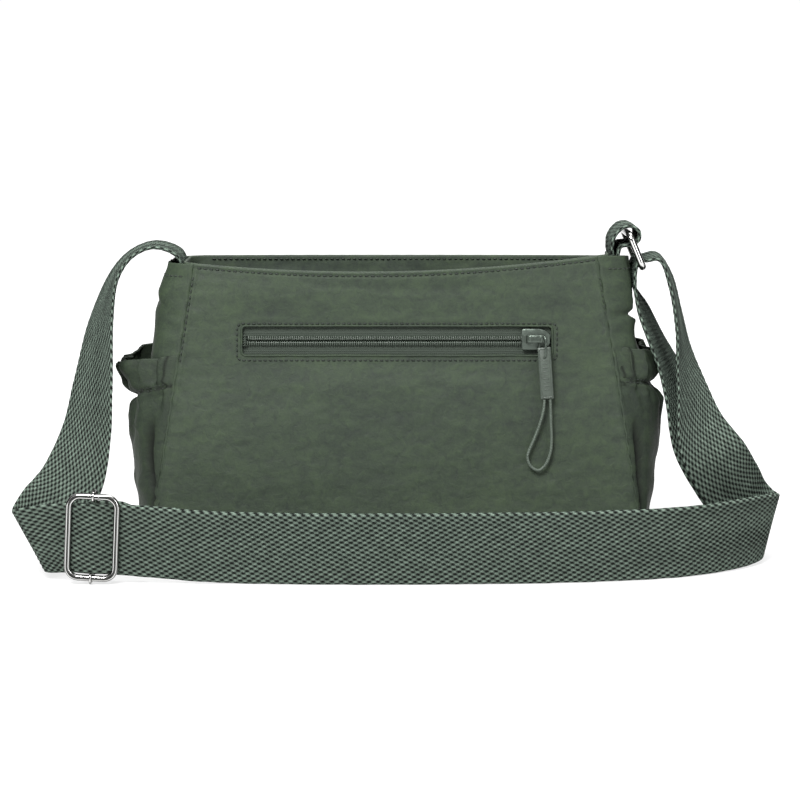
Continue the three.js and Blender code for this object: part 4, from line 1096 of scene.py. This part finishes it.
def pocket_surface(t, z, side, seed):
    """Depth y and reach of the gathered pocket; t runs from the front seam (-1) to the back (1)."""
    y = t * (half_depth(z) - 0.3)
    across = np.abs(t)
    from_seam = 10 * (1 - across)
    arc = t * 46
    pinch = gather_line(t, side)
    header = smooth((z - pinch) / 7)
    body = 1 - header

    # the smooth form: over the gusset, and out to the profile at mid-depth
    level_z = np.minimum(z, POCKET_RIM[side][0])
    room = pocket_level(level_z, side) - gusset_reach(0, level_z, side) - 2.2
    swell = 1 - across ** 2.5
    reach = gusset_reach(y, z, side) + 0.5 + 1.9 * (1 - across ** 12) + np.maximum(room, 0) * swell

    # ruffles and pleats in the header, folds that die away below it, a groove where the elastic is
    ruffle = np.sin(arc / 1.45 + 2.6 * noise(arc / 11, z / 60, seed))
    wide = np.sin(arc / 2.9 + 2.2 * noise(arc / 15, z / 40, seed + 1))
    pleats = hump(t, -0.86, 0.035) + hump(t, -0.73, 0.035)
    relief = header * (2.1 * ruffle * smooth((z - pinch) / 16 + 0.35) + 1.3 * wide - 2.6 * pleats)
    below = 1 - smooth((pinch - z) / 34)
    close_folds = 1.3 * ruffle * np.exp(-(pinch - z) / 9)
    long_folds = 2.8 * wide * below * smooth((pinch - z) / 5)
    relief = relief + body * (close_folds + long_folds)
    relief = relief - (2.3 + 1.3 * ruffle) * hump(z, pinch, 1.7)

    # small pleats and gathers beside the seams, then the belly's broad folds and creases
    near_seam = smooth(from_seam / 0.3) * np.exp(-from_seam / 2.2)
    pleated = np.sin(from_seam * 2 * math.pi / 0.85 + 1.2 * noise(z / 9, 0, seed + 9))
    gathers = np.sin(from_seam * 2 * math.pi / 1.1 + 0.9 * noise(z / 7, 3, seed + 9))
    relief = relief + near_seam * (header * pleated + 1.2 * gathers * body * np.exp(-np.abs(pinch - z) / 13))
    relief = relief + 1.2 * fractal(arc / 20, z / 24, seed + 3, 2) * body
    relief = relief + 0.9 * (creases(arc / 13, z / 20, seed + 5) - 0.3) * body
    relief = relief * smooth((1 - across) / 0.03)
    relief = relief - 3.4 * body * fold_depth(t, z, side)
    return y, reach + relief + 0.14 * fractal(arc / 4, z / 3, seed + 8, 2)


def fold_depth(t, z, side):
    """The long fold that runs down beside each pocket's seams, from 0 (none) to 1."""
    from_seam = 10 * (1 - np.abs(t))
    low, high = (0.30, 1.25) if side < 0 else (0.60, 0.95)
    middle = mix(low, high, smooth((z - 34) / 34))
    width = mix(0.30, 0.42, smooth((z - 30) / 40))
    ends = smooth((z - 4) / 16) * (1 - smooth((z - 66) / 20))
    return hump(from_seam, middle, width) * ends


def painted_fold_shade_amount(t, z, side):
    """How much painted shade darkens the cloth in its folds: the long fold, the gathering line and two
    pleats.
    """
    from_seam = 10 * (1 - np.abs(t))
    pinch = gather_line(t, side)
    header = smooth((z - pinch) / 3)
    pleats = hump(from_seam, 0.42, 0.10) + hump(from_seam, 0.98, 0.14)
    broken = 0.5 + 0.5 * np.sin(from_seam * 2 * math.pi / 0.8 + 0.6)
    line = hump(z, pinch - 0.5, 1.0) * (0.35 + 0.55 * broken)
    fade = np.exp(-np.maximum(pinch - z, 0) / 7) * (1 - header)
    tails = hump(from_seam, 0.42 + 0.02 * (pinch - z), 0.10) * fade
    tone = 0.92 * fold_depth(t, z, side) + 0.75 * pleats * header + line + 0.7 * tails
    return np.clip(tone, 0, 1)


def make_pocket(label, side, seed):
    """A gathered pocket, its two rows of stitches and the elastic behind them."""
    middle, seam = POCKET_RIM[side]
    u, v = np.meshgrid(np.linspace(-1, 1, 260), np.linspace(0, 1, 170))
    t = np.sin(u * math.pi / 2)
    rim = mix(middle, seam + 4 * (t > 0) * np.abs(t), np.abs(t) ** 1.6) + 0.7 * noise(t * 9, 0, seed + 6)
    z = mix(FOOT + 0.6, rim, v)
    y, reach = pocket_surface(t, z, side, seed)
    curl = smooth((v - 0.975) / 0.025)
    points = np.stack([side * (reach - 0.9 * curl), y, z], -1)
    faces = grid_faces(*t.shape, flip=side < 0)
    piece = mesh_object(f"{label}_pocket_cloth", [(points, faces)], POCKET_NYLON_SHADED, 1.3)
    # painted shade for the folds, carried to the material as a per-point attribute on the outer face's points
    tone = piece.data.attributes.new("painted_fold_shade", "FLOAT", "POINT")
    painted_shade_values = np.zeros(len(piece.data.vertices), np.float32)
    painted_shade_values[:t.size] = painted_fold_shade_amount(t, z, side).ravel()
    tone.data.foreach_set("value", painted_shade_values)
    place(piece, "bag", "nylon", f"{label}_pocket")

    parts = []
    for drop in (-0.9, 0.9):
        line_t = np.linspace(-0.95, 0.95, 260)
        line_z = gather_line(line_t, side) + drop
        y, reach = pocket_surface(line_t, line_z, side, seed)
        parts += stitches(np.stack([side * (reach + 0.1), y, line_z], -1), (side, 0, 0), 2.6, radius=0.28)
    place(mesh_object(f"{label}_pocket_stitches", parts, THREAD), "bag", "nylon")

    band = []
    u = np.linspace(-0.9, 0.9, 90)
    y, reach = pocket_surface(u, gather_line(u, side), side, seed)
    for above in np.linspace(-3.6, 3.6, 12):
        ripple = 0.12 * math.sin(above * 3.0)
        band.append(np.stack([side * (reach - 2.0 + ripple), y * 0.97, gather_line(u, side) + above], -1))
    faces = grid_faces(12, 90, flip=side < 0)
    elastic = mesh_object(f"{label}_elastic_band", [(np.array(band), faces)], LINING, 0.6)
    place(elastic, "bag", "lining", f"{label}_pocket_elastic")


# ---- mouth, lining and front pouch ------------------------------------------------------------

MOUTH_HALF = 117.8


def mouth_ring(share, inset, waviness, seed):
    """One level of the mouth's facing: a rounded rectangle that follows the sagging rim."""
    lower = TOP_ZIP + 0.8
    depth = half_depth(mix(lower, BAG_HEIGHT, share)) - 2.0 - inset
    loop = rounded_loop((0, 0, 0), (1, 0, 0), MOUTH_HALF - inset, (0, 1, 0), depth, 10 - inset, 12)
    loop = resample(np.vstack([loop, loop[:1]]), 1.1)[:-1]
    x, y = loop[:, 0], loop[:, 1]
    top = np.where(y < 0, front_rim(np.clip(x, -112, 112)), BACK_RIM) + 0.2
    z = mix(lower, top, share)
    wave = waviness * fractal(x / 22 + y / 9, z / 8, seed)
    outward = unit(np.stack([x / MOUTH_HALF ** 2, y / depth ** 2], -1))
    return np.stack([x + outward[:, 0] * wave, y + outward[:, 1] * wave, z], -1)


def make_facing():
    """The facing round the mouth, and the row of stitches along its back."""
    shares = np.linspace(0, 1, 18)
    outer = [mouth_ring(t, 0, 0.5, 61) for t in shares]
    inner = [mouth_ring(t, 1.0, 0.5, 61) for t in shares[::-1]]
    rings = [loop_to_count(ring, 560) for ring in [*outer, *inner]]
    points, faces = sweep(np.array(rings), closed=True)
    place(mesh_object("rim_facing_cloth", [(points, faces)], NYLON_INNER), "bag", "nylon_inner", "rim_facing")
    x = np.linspace(-106, 106, 240)
    z = BACK_RIM + 0.2 - RIM_STITCH_DROP + 0 * x
    y = half_depth(z) - 3.3
    parts = stitches(np.stack([x, y, z], -1), (0, -1, 0), 3.2, radius=0.36)
    place(mesh_object("facing_stitches", parts, THREAD), "bag", "nylon_inner")


def make_lining():
    """The loose inner bag."""
    def ring(z, height, inset):
        front_room = mix(9.4, 3.2, smooth((z - 133) / 9))
        half_x = half_width(z) - 4 - inset
        front, back = half_depth(z) - front_room - inset, half_depth(z) - 3 - inset
        centre_y, depth = (back - front) / 2, (back + front) / 2
        loop = rounded_loop((0, centre_y, height), (1, 0, 0), half_x, (0, 1, 0), depth, 10 - inset, 10)
        loop = loop_to_count(loop, 300)
        wave = 1.2 * fractal(loop[:, 0] / 30 + loop[:, 1] / 12, height / 26, 71) * smooth((height - 4) / 20)
        wave = wave * smooth((132 - height) / 20) - 1.0 * smooth((height - 4) / 20)
        centre = np.array([0, centre_y, height])
        inward = unit(loop - centre)
        return loop + inward * np.minimum(wave, 0.3)[:, None]

    heights = [3.2, *np.linspace(8, 130, 26), 133, 135.5, 137.5, 139.5, 142, 143]
    rings = [ring(z, z, 0) for z in heights]
    rings += [ring(z, max(z, 4.0), 0.8) for z in heights[::-1]]
    points, faces = sweep(np.array(rings))
    place(mesh_object("lining_cloth", [(points, faces)], LINING), "bag", "lining", "lining")


def make_pouch():
    """The cloth pouch behind the front zip, open towards it."""
    half_x = WINDOW[0] + 5.5
    top, bottom = ZIP_S + WINDOW[1] + 2.4, 38 / math.cos(LEAN)
    front, rear, wall = -3.0, -8.5, 0.8
    centre = (ZIP_X, (top + bottom) / 2)
    tall = (top - bottom) / 2

    def ring(inset, n):
        loop = rounded_loop((centre[0], centre[1], n), (1, 0, 0), half_x - inset, (0, 1, 0), tall - inset, 4)
        return loop_to_count(loop, 240)

    hub = np.array([centre[0], centre[1], 0])
    shares = np.linspace(0, 0.98, 20)

    def face(n, inset):
        rings = []
        for t in shares:
            loop = ring(inset, n)
            loop = mix(loop, hub + [0, 0, n], t)
            loop[:, 2] += 0.5 * fractal(loop[:, 0] / 20, loop[:, 1] / 18, 81) * smooth(t * 5)
            rings.append(loop)
        return rings

    rings = [*face(rear + wall, wall)[::-1], ring(wall, front), ring(0, front), *face(rear + 0.2, 0)]
    points, faces = sweep(np.array(rings))
    parts = moved([(points, faces)], FRONT)
    place(mesh_object("front_pouch_cloth", parts, LINING), "bag", "lining", "front_pocket_pouch")


# ---- zips -------------------------------------------------------------------------------------

def zip_teeth(x0, x1, centre, up, n):
    """One row of a coil zip's teeth: short rounded loops side by side, heads at the centre line."""
    parts = []
    for i in range(int((x1 - x0) / TOOTH_PITCH)):
        x = x0 + (i + (0.5 if up > 0 else 0.0) + 0.25) * TOOTH_PITCH
        reach = np.array([-0.35, -0.1, 0.5, 1.5, 2.1, 2.35])
        lift = np.array([-0.45, 0.0, 0.16, 0.05, -0.2, -0.5])
        path = np.stack([x + 0 * reach, centre + up * (reach + 0.55), n + lift], -1)
        parts.append(tube(path, 0.44 * np.array([0.45, 0.95, 1.05, 0.95, 0.8, 0.4]), sides=8))
    return parts


def tape_strip(x0, x1, near, far, n, seed):
    """One half of a zip's tape: a thin ribbed strip from its near edge to its far one."""
    u, v = np.meshgrid(np.linspace(x0, x1, 160), np.linspace(near, far, 22))
    height = n + 0.06 * np.sin(v * 2 * math.pi / 1.3) + 0.12 * fractal(u / 14, v / 4, seed)
    return np.stack([u, v, height], -1), grid_faces(*u.shape, flip=far < near)


def make_front_zip():
    """The bound window edge, two tapes, two rows of teeth and the thread stop."""
    shape = []
    for grow, n in (
        (0.0, -1.3), (-0.05, -0.4), (0.1, 0.3), (0.45, 0.6), (0.85, 0.5), (1.15, 0.15), (1.5, -0.15),
        (1.45, -0.7), (0.8, -1.1),
    ):
        half_x, half_s = WINDOW[0] + grow, WINDOW[1] + grow
        loop = rounded_loop((ZIP_X, ZIP_S, n), (1, 0, 0), half_x, (0, 1, 0), half_s, 1.6 + max(grow, 0))
        shape.append(loop_to_count(loop, 420))
    rings = np.array(shape)
    rings[..., 2] += 0.10 * fractal(rings[..., 0] / 5, rings[..., 1] / 4, 21, 2)
    outer = np.abs(rings[..., 2] + 0.4) < 1
    rings[..., 1] += 0.25 * fractal(rings[..., 0] / 30, rings[..., 1] * 0, 23) * outer
    points, faces = sweep(np.swapaxes(rings, 0, 1), closed=True)
    binding = mesh_object("zip_window_edge", moved([(points, faces)], FRONT), NYLON)
    place(binding, "bag", "nylon", "front_zip_binding")

    x0, x1 = ZIP_X - WINDOW[0] - 4, ZIP_X + WINDOW[0] + 4
    for label, up in (("upper", 1), ("lower", -1)):
        strip = tape_strip(x0, x1, ZIP_S + up * 1.0, ZIP_S + up * 11.5, -2.0, 31 + up)
        tape = mesh_object(f"front_tape_{label}_cloth", moved([strip], FRONT), TAPE, 0.6)
        place(tape, "bag", "zip_tape", f"front_zip_tape_{label}")
        teeth = zip_teeth(ZIP_X - WINDOW[0] + 2.4, ZIP_X + WINDOW[0] - 0.4, ZIP_S, up, -0.75)
        cord_path = np.array([(x, ZIP_S + up * 1.0, -0.30) for x in np.linspace(x0 + 6, x1 - 6, 40)])
        teeth.append(tube(cord_path, 0.2, sides=8))
        row = mesh_object(f"front_coil_{label}_teeth", moved(teeth, FRONT), COIL)
        place(row, "bag", "zip_coil", f"front_zip_coil_{label}")
    stop_x = ZIP_X - WINDOW[0] + 1.2
    along_stop = np.linspace(-3.4, 3.4, 12)
    stop_path = np.array([(stop_x, ZIP_S + s, -0.8 + 0.3 * math.cos(s / 2.2)) for s in along_stop])
    stop = [tube(stop_path, 0.8 * np.sin(np.linspace(0.5, math.pi - 0.5, 12)), sides=8)]
    for drop in np.linspace(-2.6, 2.6, 5):
        wrap = rounded_loop((stop_x, ZIP_S + drop, -0.7), (1, 0, 0), 0.95, (0, 0, 1), 0.85, 0.5, 4)
        stop.append(tube(wrap, 0.28, sides=6, closed=True, up=(0, 1, 0)))
    place(mesh_object("front_stop_thread", moved(stop, FRONT), TAPE), "bag", "zip_tape", "front_zip_stop")


def slider_outline(length, width):
    """A slider seen from above: square at its mouth, shouldered, and rounded at its nose."""
    half_l, half_w = length / 2, width / 2
    upper = [
        (-half_l, half_w - 1.0), (-half_l + 0.8, half_w), (half_l * 0.25, half_w),
        (half_l * 0.6, half_w - 0.7), (half_l - 0.9, half_w - 2.3), (half_l, half_w - 3.4),
    ]
    return [*upper, *[(x, -y) for x, y in upper[::-1]]]


def slider_parts(x, middle, width=12.4):
    """Body plates with turned-down flanges and a post, in the zip's own frame."""
    outline = [(x + a, middle + b) for a, b in slider_outline(SLIDER_LENGTH, width)]
    parts = [prism(outline[::-1], 0.1, 1.25, 0.42)]
    back = [(x + a * 0.96, middle + b * 0.86) for a, b in slider_outline(SLIDER_LENGTH, width)]
    parts.append(prism(back[::-1], -3.9, -2.9, 0.3))
    for up in (1, -1):
        low, high = sorted(middle + up * (width / 2 - inset) for inset in (1.15, 0.1))
        flange = [(x - 7.2, low), (x + 2.6, low), (x + 2.6, high), (x - 7.2, high)]
        parts.append(prism(flange, -1.6, 0.6, 0.3))
    post = [(x + a, middle + b) for a, b in ((2.2, -0.6), (6.6, -0.6), (6.6, 0.6), (2.2, 0.6))]
    parts.append(prism(post, -3.0, 0.5, 0.15))
    return parts


def bridge_parts(x0, x1, middle):
    """The arched bar that carries the pull: a rounded strip with broad rounded feet."""
    foot, top = BRIDGE_FOOT - 0.25, BRIDGE_FOOT + 3.45
    profile = [(x0 + 0.5, foot), (x0 + 0.45, foot + 1.6), (x0 + 0.9, top - 0.7), (x0 + 2.0, top)]
    profile += [(mix(x0 + 3, x1 - 3, t), top + 0.12 * math.sin(math.pi * t)) for t in np.linspace(0, 1, 7)]
    profile += [(x1 - 2.0, top), (x1 - 0.9, top - 0.7), (x1 - 0.45, foot + 1.6), (x1 - 0.5, foot)]
    path = catmull([(x, middle, n) for x, n in profile], 5)
    end = np.minimum(np.arange(len(path)), np.arange(len(path))[::-1]) / 12
    half_w = 2.15 + 0.25 * smooth(1 - end)
    a, b = frames_along(path, up=(0, 1, 0))
    angle = np.linspace(0, 2 * math.pi, 24, endpoint=False)
    thick = 0.6 * np.sign(np.cos(angle)) * np.abs(np.cos(angle)) ** 0.7
    wide = np.sign(np.sin(angle)) * np.abs(np.sin(angle)) ** 0.7
    rings = path[:, None] + thick[None, :, None] * a[:, None]
    rings = rings + (half_w[:, None] * wide[None])[..., None] * b[:, None]
    return [sweep(rings)]


def make_front_slider():
    """The front slider, its arched bridge and the wire link that hangs on it."""
    plates = slider_parts(SLIDER_X, ZIP_S + 0.8, width=11.6)
    body = mesh_object("front_slider_cast", moved(plates, FRONT), SLIDER)
    place(body, "front_slider", "slider_metal", "front_slider_body")
    cap = bridge_parts(SLIDER_X - 5.3, SLIDER_X + 5.1, ZIP_S + 0.9)
    bridge = mesh_object("front_slider_cap", moved(cap, FRONT), SLIDER)
    place(bridge, "front_slider", "slider_metal", "front_slider_bridge")
    link = []
    for turn_s, way in ((ZIP_S, 1), (ZIP_S - LINK_FOOT, -1)):
        for i in range(13):
            angle = i / 12 * math.pi
            s = turn_s + way * LINK_RADIUS * math.sin(angle)
            link.append((LINK_X, s, BRIDGE_BAR + way * LINK_RADIUS * math.cos(angle)))
    link = loop_to_count(np.array(link), 60)
    height = link[:, 2] - BRIDGE_BAR
    link[:, 0] += height * math.sin(LINK_TURN)
    link[:, 2] = BRIDGE_BAR + height * math.cos(LINK_TURN)
    wire = tube(link, 0.6, sides=14, closed=True, up=(1, 0, 0))
    wire = mesh_object("front_pull_wire", moved([wire], FRONT), SLIDER)
    place(wire, "front_pull_link", "slider_metal", "front_pull_link")


def make_front_pull():
    """A moulded tab with a raised rim and plain ribs, and the braided cord loop from its end."""
    eye = FRONT @ Matrix.Translation((LINK_X + TAB_SHIFT, ZIP_S - LINK_FOOT - LINK_RADIUS + 0.2, BRIDGE_BAR))
    eye = eye @ Matrix.Rotation(TAB_TILT, 4, "Z")
    top, length, half_w = 6, 28.4, 3.6
    outline = [(-half_w, top), (-half_w, top - length), (half_w, top - length), (half_w, top)]
    block = prism(outline, -1.2, 1.2, 0.5)
    middle = (0, top - length / 2, 1.2)
    rim = rounded_loop(middle, (1, 0, 0), half_w - 0.75, (0, 1, 0), length / 2 - 0.9, 0.8, 4)
    rim = loop_to_count(rim, 120)
    parts = [block, tube(rim, 0.34, sides=8, closed=True, up=(0, 0, 1))]
    for i in range(9):
        y = -1.2 - i * 2.0
        rib = np.array([(x, y, 1.2) for x in np.linspace(-1.6, 1.6, 7)])
        parts.append(tube(rib, 0.26 * np.array([0.4, 0.9, 1, 1, 1, 0.9, 0.4]), sides=6))
    tab = mesh_object("front_pull_tab_moulded", moved(parts, eye), PULL)
    place(tab, "front_pull", "pull_tab", "front_pull_tab")

    start = top - length - 0.3
    loop = [
        (-1.6, 0), (-2.3, 5), (-4.9, 13), (-9, 22), (-12, 28), (-12.8, 31), (-11.9, 35), (-9.6, 37.6),
        (-7, 38.4), (-3.6, 36.1), (-0.4, 30), (0.9, 23), (1.2, 13), (1.5, 5), (1.6, 0),
    ]
    route = catmull([(x, start - drop, mix(0, -1.9, float(smooth(drop / 30)))) for x, drop in loop], 10)
    route = resample(moved([(route, [])], eye)[0][0], CORD_STEP)
    angle = np.linspace(0, 2 * math.pi, 14, endpoint=False)
    braid = np.arange(len(route))[:, None] * CORD_STEP * 2 * math.pi / 1.5
    radius = 0.74 + 0.12 * np.maximum(np.cos(2 * angle[None] + braid), np.cos(2 * angle[None] - braid))
    cord = mesh_object("pull_cord_braid", [tube(route, radius, sides=14)], CORD)
    place(cord, "front_pull", "pull_cord", "front_pull_cord")


def make_top_zip():
    """The recessed top closure: a cloth leaf, a tape and a row of teeth on each side."""
    lift = Matrix.Translation((0, 0, TOP_ZIP))
    x0, x1 = TOP_COIL
    for label, up in (("front", -1), ("back", 1)):
        body = f"{label}_leaf"
        u, v = np.meshgrid(np.linspace(x0, x1, 150), np.linspace(8.5, LEAF_HINGE + 0.6, 24))
        wrinkles = 0.45 * fractal(u / 16, v / 7, 90 + up) * smooth((26 - v) / 4)
        height = 0.5 + wrinkles - 0.35 * hump(v, 10.2, 0.7)
        leaf = (np.stack([u, up * v, height], -1), grid_faces(*u.shape, flip=up < 0))
        piece = mesh_object(f"top_leaf_{label}_cloth", moved([leaf], lift), NYLON_INNER, 0.9)
        place(piece, body, "nylon_inner", f"top_leaf_{label}")
        line = np.array([(x, up * 10.2, 0.3) for x in np.linspace(x0 + 2, x1 - 2, 60)])
        row = mesh_object(f"top_leaf_{label}_stitches", moved(stitches(line, (0, 0, 1), 3.2), lift), THREAD)
        place(row, body, "nylon_inner")
        strip = tape_strip(x0, x1, up * 1.0, up * 15, -2.0, 95 + up)
        tape = mesh_object(f"top_tape_{label}_cloth", moved([strip], lift), TAPE, 0.6)
        place(tape, body, "zip_tape", f"top_zip_tape_{label}")
        teeth = mesh_object(f"top_coil_{label}_teeth", moved(zip_teeth(x0, x1, 0, up, -0.75), lift), COIL)
        place(teeth, body, "zip_coil", f"top_zip_coil_{label}")
    for label, low_x, high_x in (("left", -113.5, x0 - 1), ("right", x1 + 1, 113.5)):
        u, v = np.meshgrid(np.linspace(low_x, high_x, 30), np.linspace(-23, 23, 60))
        height = -2.0 + 0.06 * np.sin(v * 2 * math.pi / 1.3) + 0.15 * fractal(u / 8, v / 9, 99)
        slot_cut = None
        if label == "right":
            cu, cv = (u[:-1, :-1] + u[1:, 1:]) / 2, (v[:-1, :-1] + v[1:, 1:]) / 2
            slot_cut = (np.abs(cv) < 1.2) & (cu < TOP_SLIDER_X + 8.4)
        strip = (np.stack([u, v, height], -1), grid_faces(*u.shape, skip=slot_cut))
        piece = mesh_object(f"top_end_{label}_cloth", moved([strip], lift), TAPE, 0.6)
        place(piece, "bag", "zip_tape", f"top_zip_end_{label}")


def make_top_slider():
    """The top slider, its bridge and a flat pull with a rectangular eye."""
    lift = Matrix.Translation((0, 0, TOP_ZIP))
    body = mesh_object("top_slider_cast", moved(slider_parts(TOP_SLIDER_X, 0), lift), SLIDER)
    place(body, "top_slider", "slider_metal", "top_slider_body")
    arch = bridge_parts(TOP_SLIDER_X - 5.1, TOP_SLIDER_X + 5.7, 0)
    cap = mesh_object("top_slider_cap", moved(arch, lift), SLIDER)
    place(cap, "top_slider", "slider_metal", "top_slider_bridge")
    eye_x = TOP_SLIDER_X - 3.3
    half = [(0.2, 3.0), (-7, 3.6), (-15, 3.0), (-22, 2.4)]
    outer = catmull([(0.7, 0), *half, (-24, 0), *[(x, -y) for x, y in half[::-1]], (0.7, 0)])[:-1]
    outer = loop_to_count(np.hstack([outer, np.zeros((len(outer), 1))]), 120)
    bore = rounded_loop((-3.45, 0, 0), (1, 0, 0), 2.75, (0, 1, 0), 2.1, 0.9, 6)
    bore = loop_to_count(bore, 120)
    for loop in (outer, bore):
        turn = np.argmin(np.abs(np.arctan2(loop[:, 1], loop[:, 0] + 3.45)))
        loop[:] = np.roll(loop, -turn, 0)
    rings = []
    low, high = BRIDGE_FOOT + 0.1, BRIDGE_FOOT + 1.5
    for share, n in ((0.0, low + 0.35), (0.07, low), (0.93, low), (1.0, low + 0.3), (1.0, high - 0.3),
                     (0.93, high), (0.07, high), (0.0, high - 0.35)):
        ring = mix(outer, bore, share)
        ring[:, 2] = n
        rings.append(ring + [eye_x, 0, 0])
    points, faces = sweep(np.swapaxes(np.array(rings), 0, 1), closed=True)
    pull = mesh_object("top_pull_cast", moved([(points, faces)], lift), SLIDER)
    place(pull, "top_pull", "slider_metal", "top_pull")


# ---- nickel hardware --------------------------------------------------------------------------

def make_ring():
    """The rectangular ring, leaning from the tab's bar down to the strap's."""
    top = np.array([RING_TOP[0], 0, RING_TOP[1]])
    foot = np.array([RING_FOOT[0], 0, RING_FOOT[1]])
    down = unit(foot - top)
    half_b = np.linalg.norm(foot - top) / 2
    loop = rounded_loop((top + foot) / 2, (0, 1, 0), RING_HALF_WIDTH, down, half_b, 3.6, 12)
    loop = loop_to_count(loop, 150)
    wire = tube(loop, RING_WIRE, sides=24, closed=True, up=np.cross((0, 1, 0), down))
    place(mesh_object("strap_ring_nickel", [wire], NICKEL), "strap_ring", "nickel", "strap_ring")


def make_adjuster():
    """The grooved frame, the hooked bar behind it and the stretch of strap that passes through."""
    x, y, z = ADJUSTER
    half_w, half_h = ADJUSTER_HALF
    frame_y = y - WEB_HALF_THICK - 0.3 - ADJUSTER_WIRE
    side = unit(np.array([1, RUN_SLOPE, 0]))
    normal = np.cross(side, (0, 0, 1))
    to_middle = Matrix.Translation((x, 0, z))
    lean = to_middle @ Matrix.Rotation(ADJUSTER_LEAN, 4, "Y") @ to_middle.inverted()
    loop = rounded_loop((x, frame_y, z), side, half_w, (0, 0, 1), half_h, 6, 14)
    loop = loop_to_count(loop, 200)
    angle = np.linspace(0, 2 * math.pi, 40, endpoint=False)
    grooves = hump(angle, math.pi / 2, 0.32) + hump(angle, 3 * math.pi / 2, 0.32)
    radius = ADJUSTER_WIRE * (1 - 0.13 * grooves)[None, :]
    wire = tube(loop, radius, sides=40, closed=True, up=normal)
    piece = mesh_object("adjuster_frame_nickel", moved([wire], lean), NICKEL)
    place(piece, "adjuster_frame", "nickel", "adjuster_frame")

    hook = ADJUSTER_WIRE + 0.2 + HOOK_WIRE
    bar = [(x, BAR_Y, z - half_h + t) for t in np.linspace(0, 2 * half_h, 30)]
    parts = [tube(bar, BAR_WIRE, sides=20)]
    for way in (1, -1):
        bend = [
            (frame_y + 0.2, -hook), (frame_y - hook * 0.7, -hook * 0.72), (frame_y - hook, 0),
            (frame_y - hook * 0.72, hook * 0.72), (frame_y, hook), (frame_y + 3, hook),
            (BAR_Y - 2, hook * 0.85), (BAR_Y, 0.4), (BAR_Y, -3),
        ]
        path = catmull([(x, p, z + way * (half_h + q)) for p, q in bend], 6)
        parts.append(tube(path, HOOK_WIRE, sides=12))
    hooked_bar = mesh_object("adjuster_bar_nickel", moved(parts, lean), NICKEL)
    place(hooked_bar, "adjuster_bar", "nickel", "adjuster_bar")

    # the strap swells forward where it passes between the frame's long sides
    keys = []
    for t in np.linspace(-1, 1, 13):
        swell = 3.0 * math.cos(t * math.pi / 2) ** 1.5
        along = x + 13.5 * t
        keys.append(upright(along, run_y(along) - 0.12 - swell, mix(6.2, 5.0, (t + 1) / 2)))
    piece, _ = band_mesh("strap_in_adjuster", keys, phase=0.9, half=WEB_WIDTH / 2 - 0.15)
    place(piece, "adjuster_frame", "webbing")


make_panel()
make_panel(back=True)
make_panel_stitches()
make_gusset("left_gusset", -1, 17)
make_gusset("right_gusset", 1, 29)
make_base()
make_pocket("left", -1, 51)
make_pocket("right", 1, 57)
make_facing()
make_lining()
make_pouch()
make_front_zip()
make_front_slider()
make_front_pull()
make_top_zip()
make_top_slider()
make_ring()
make_adjuster()
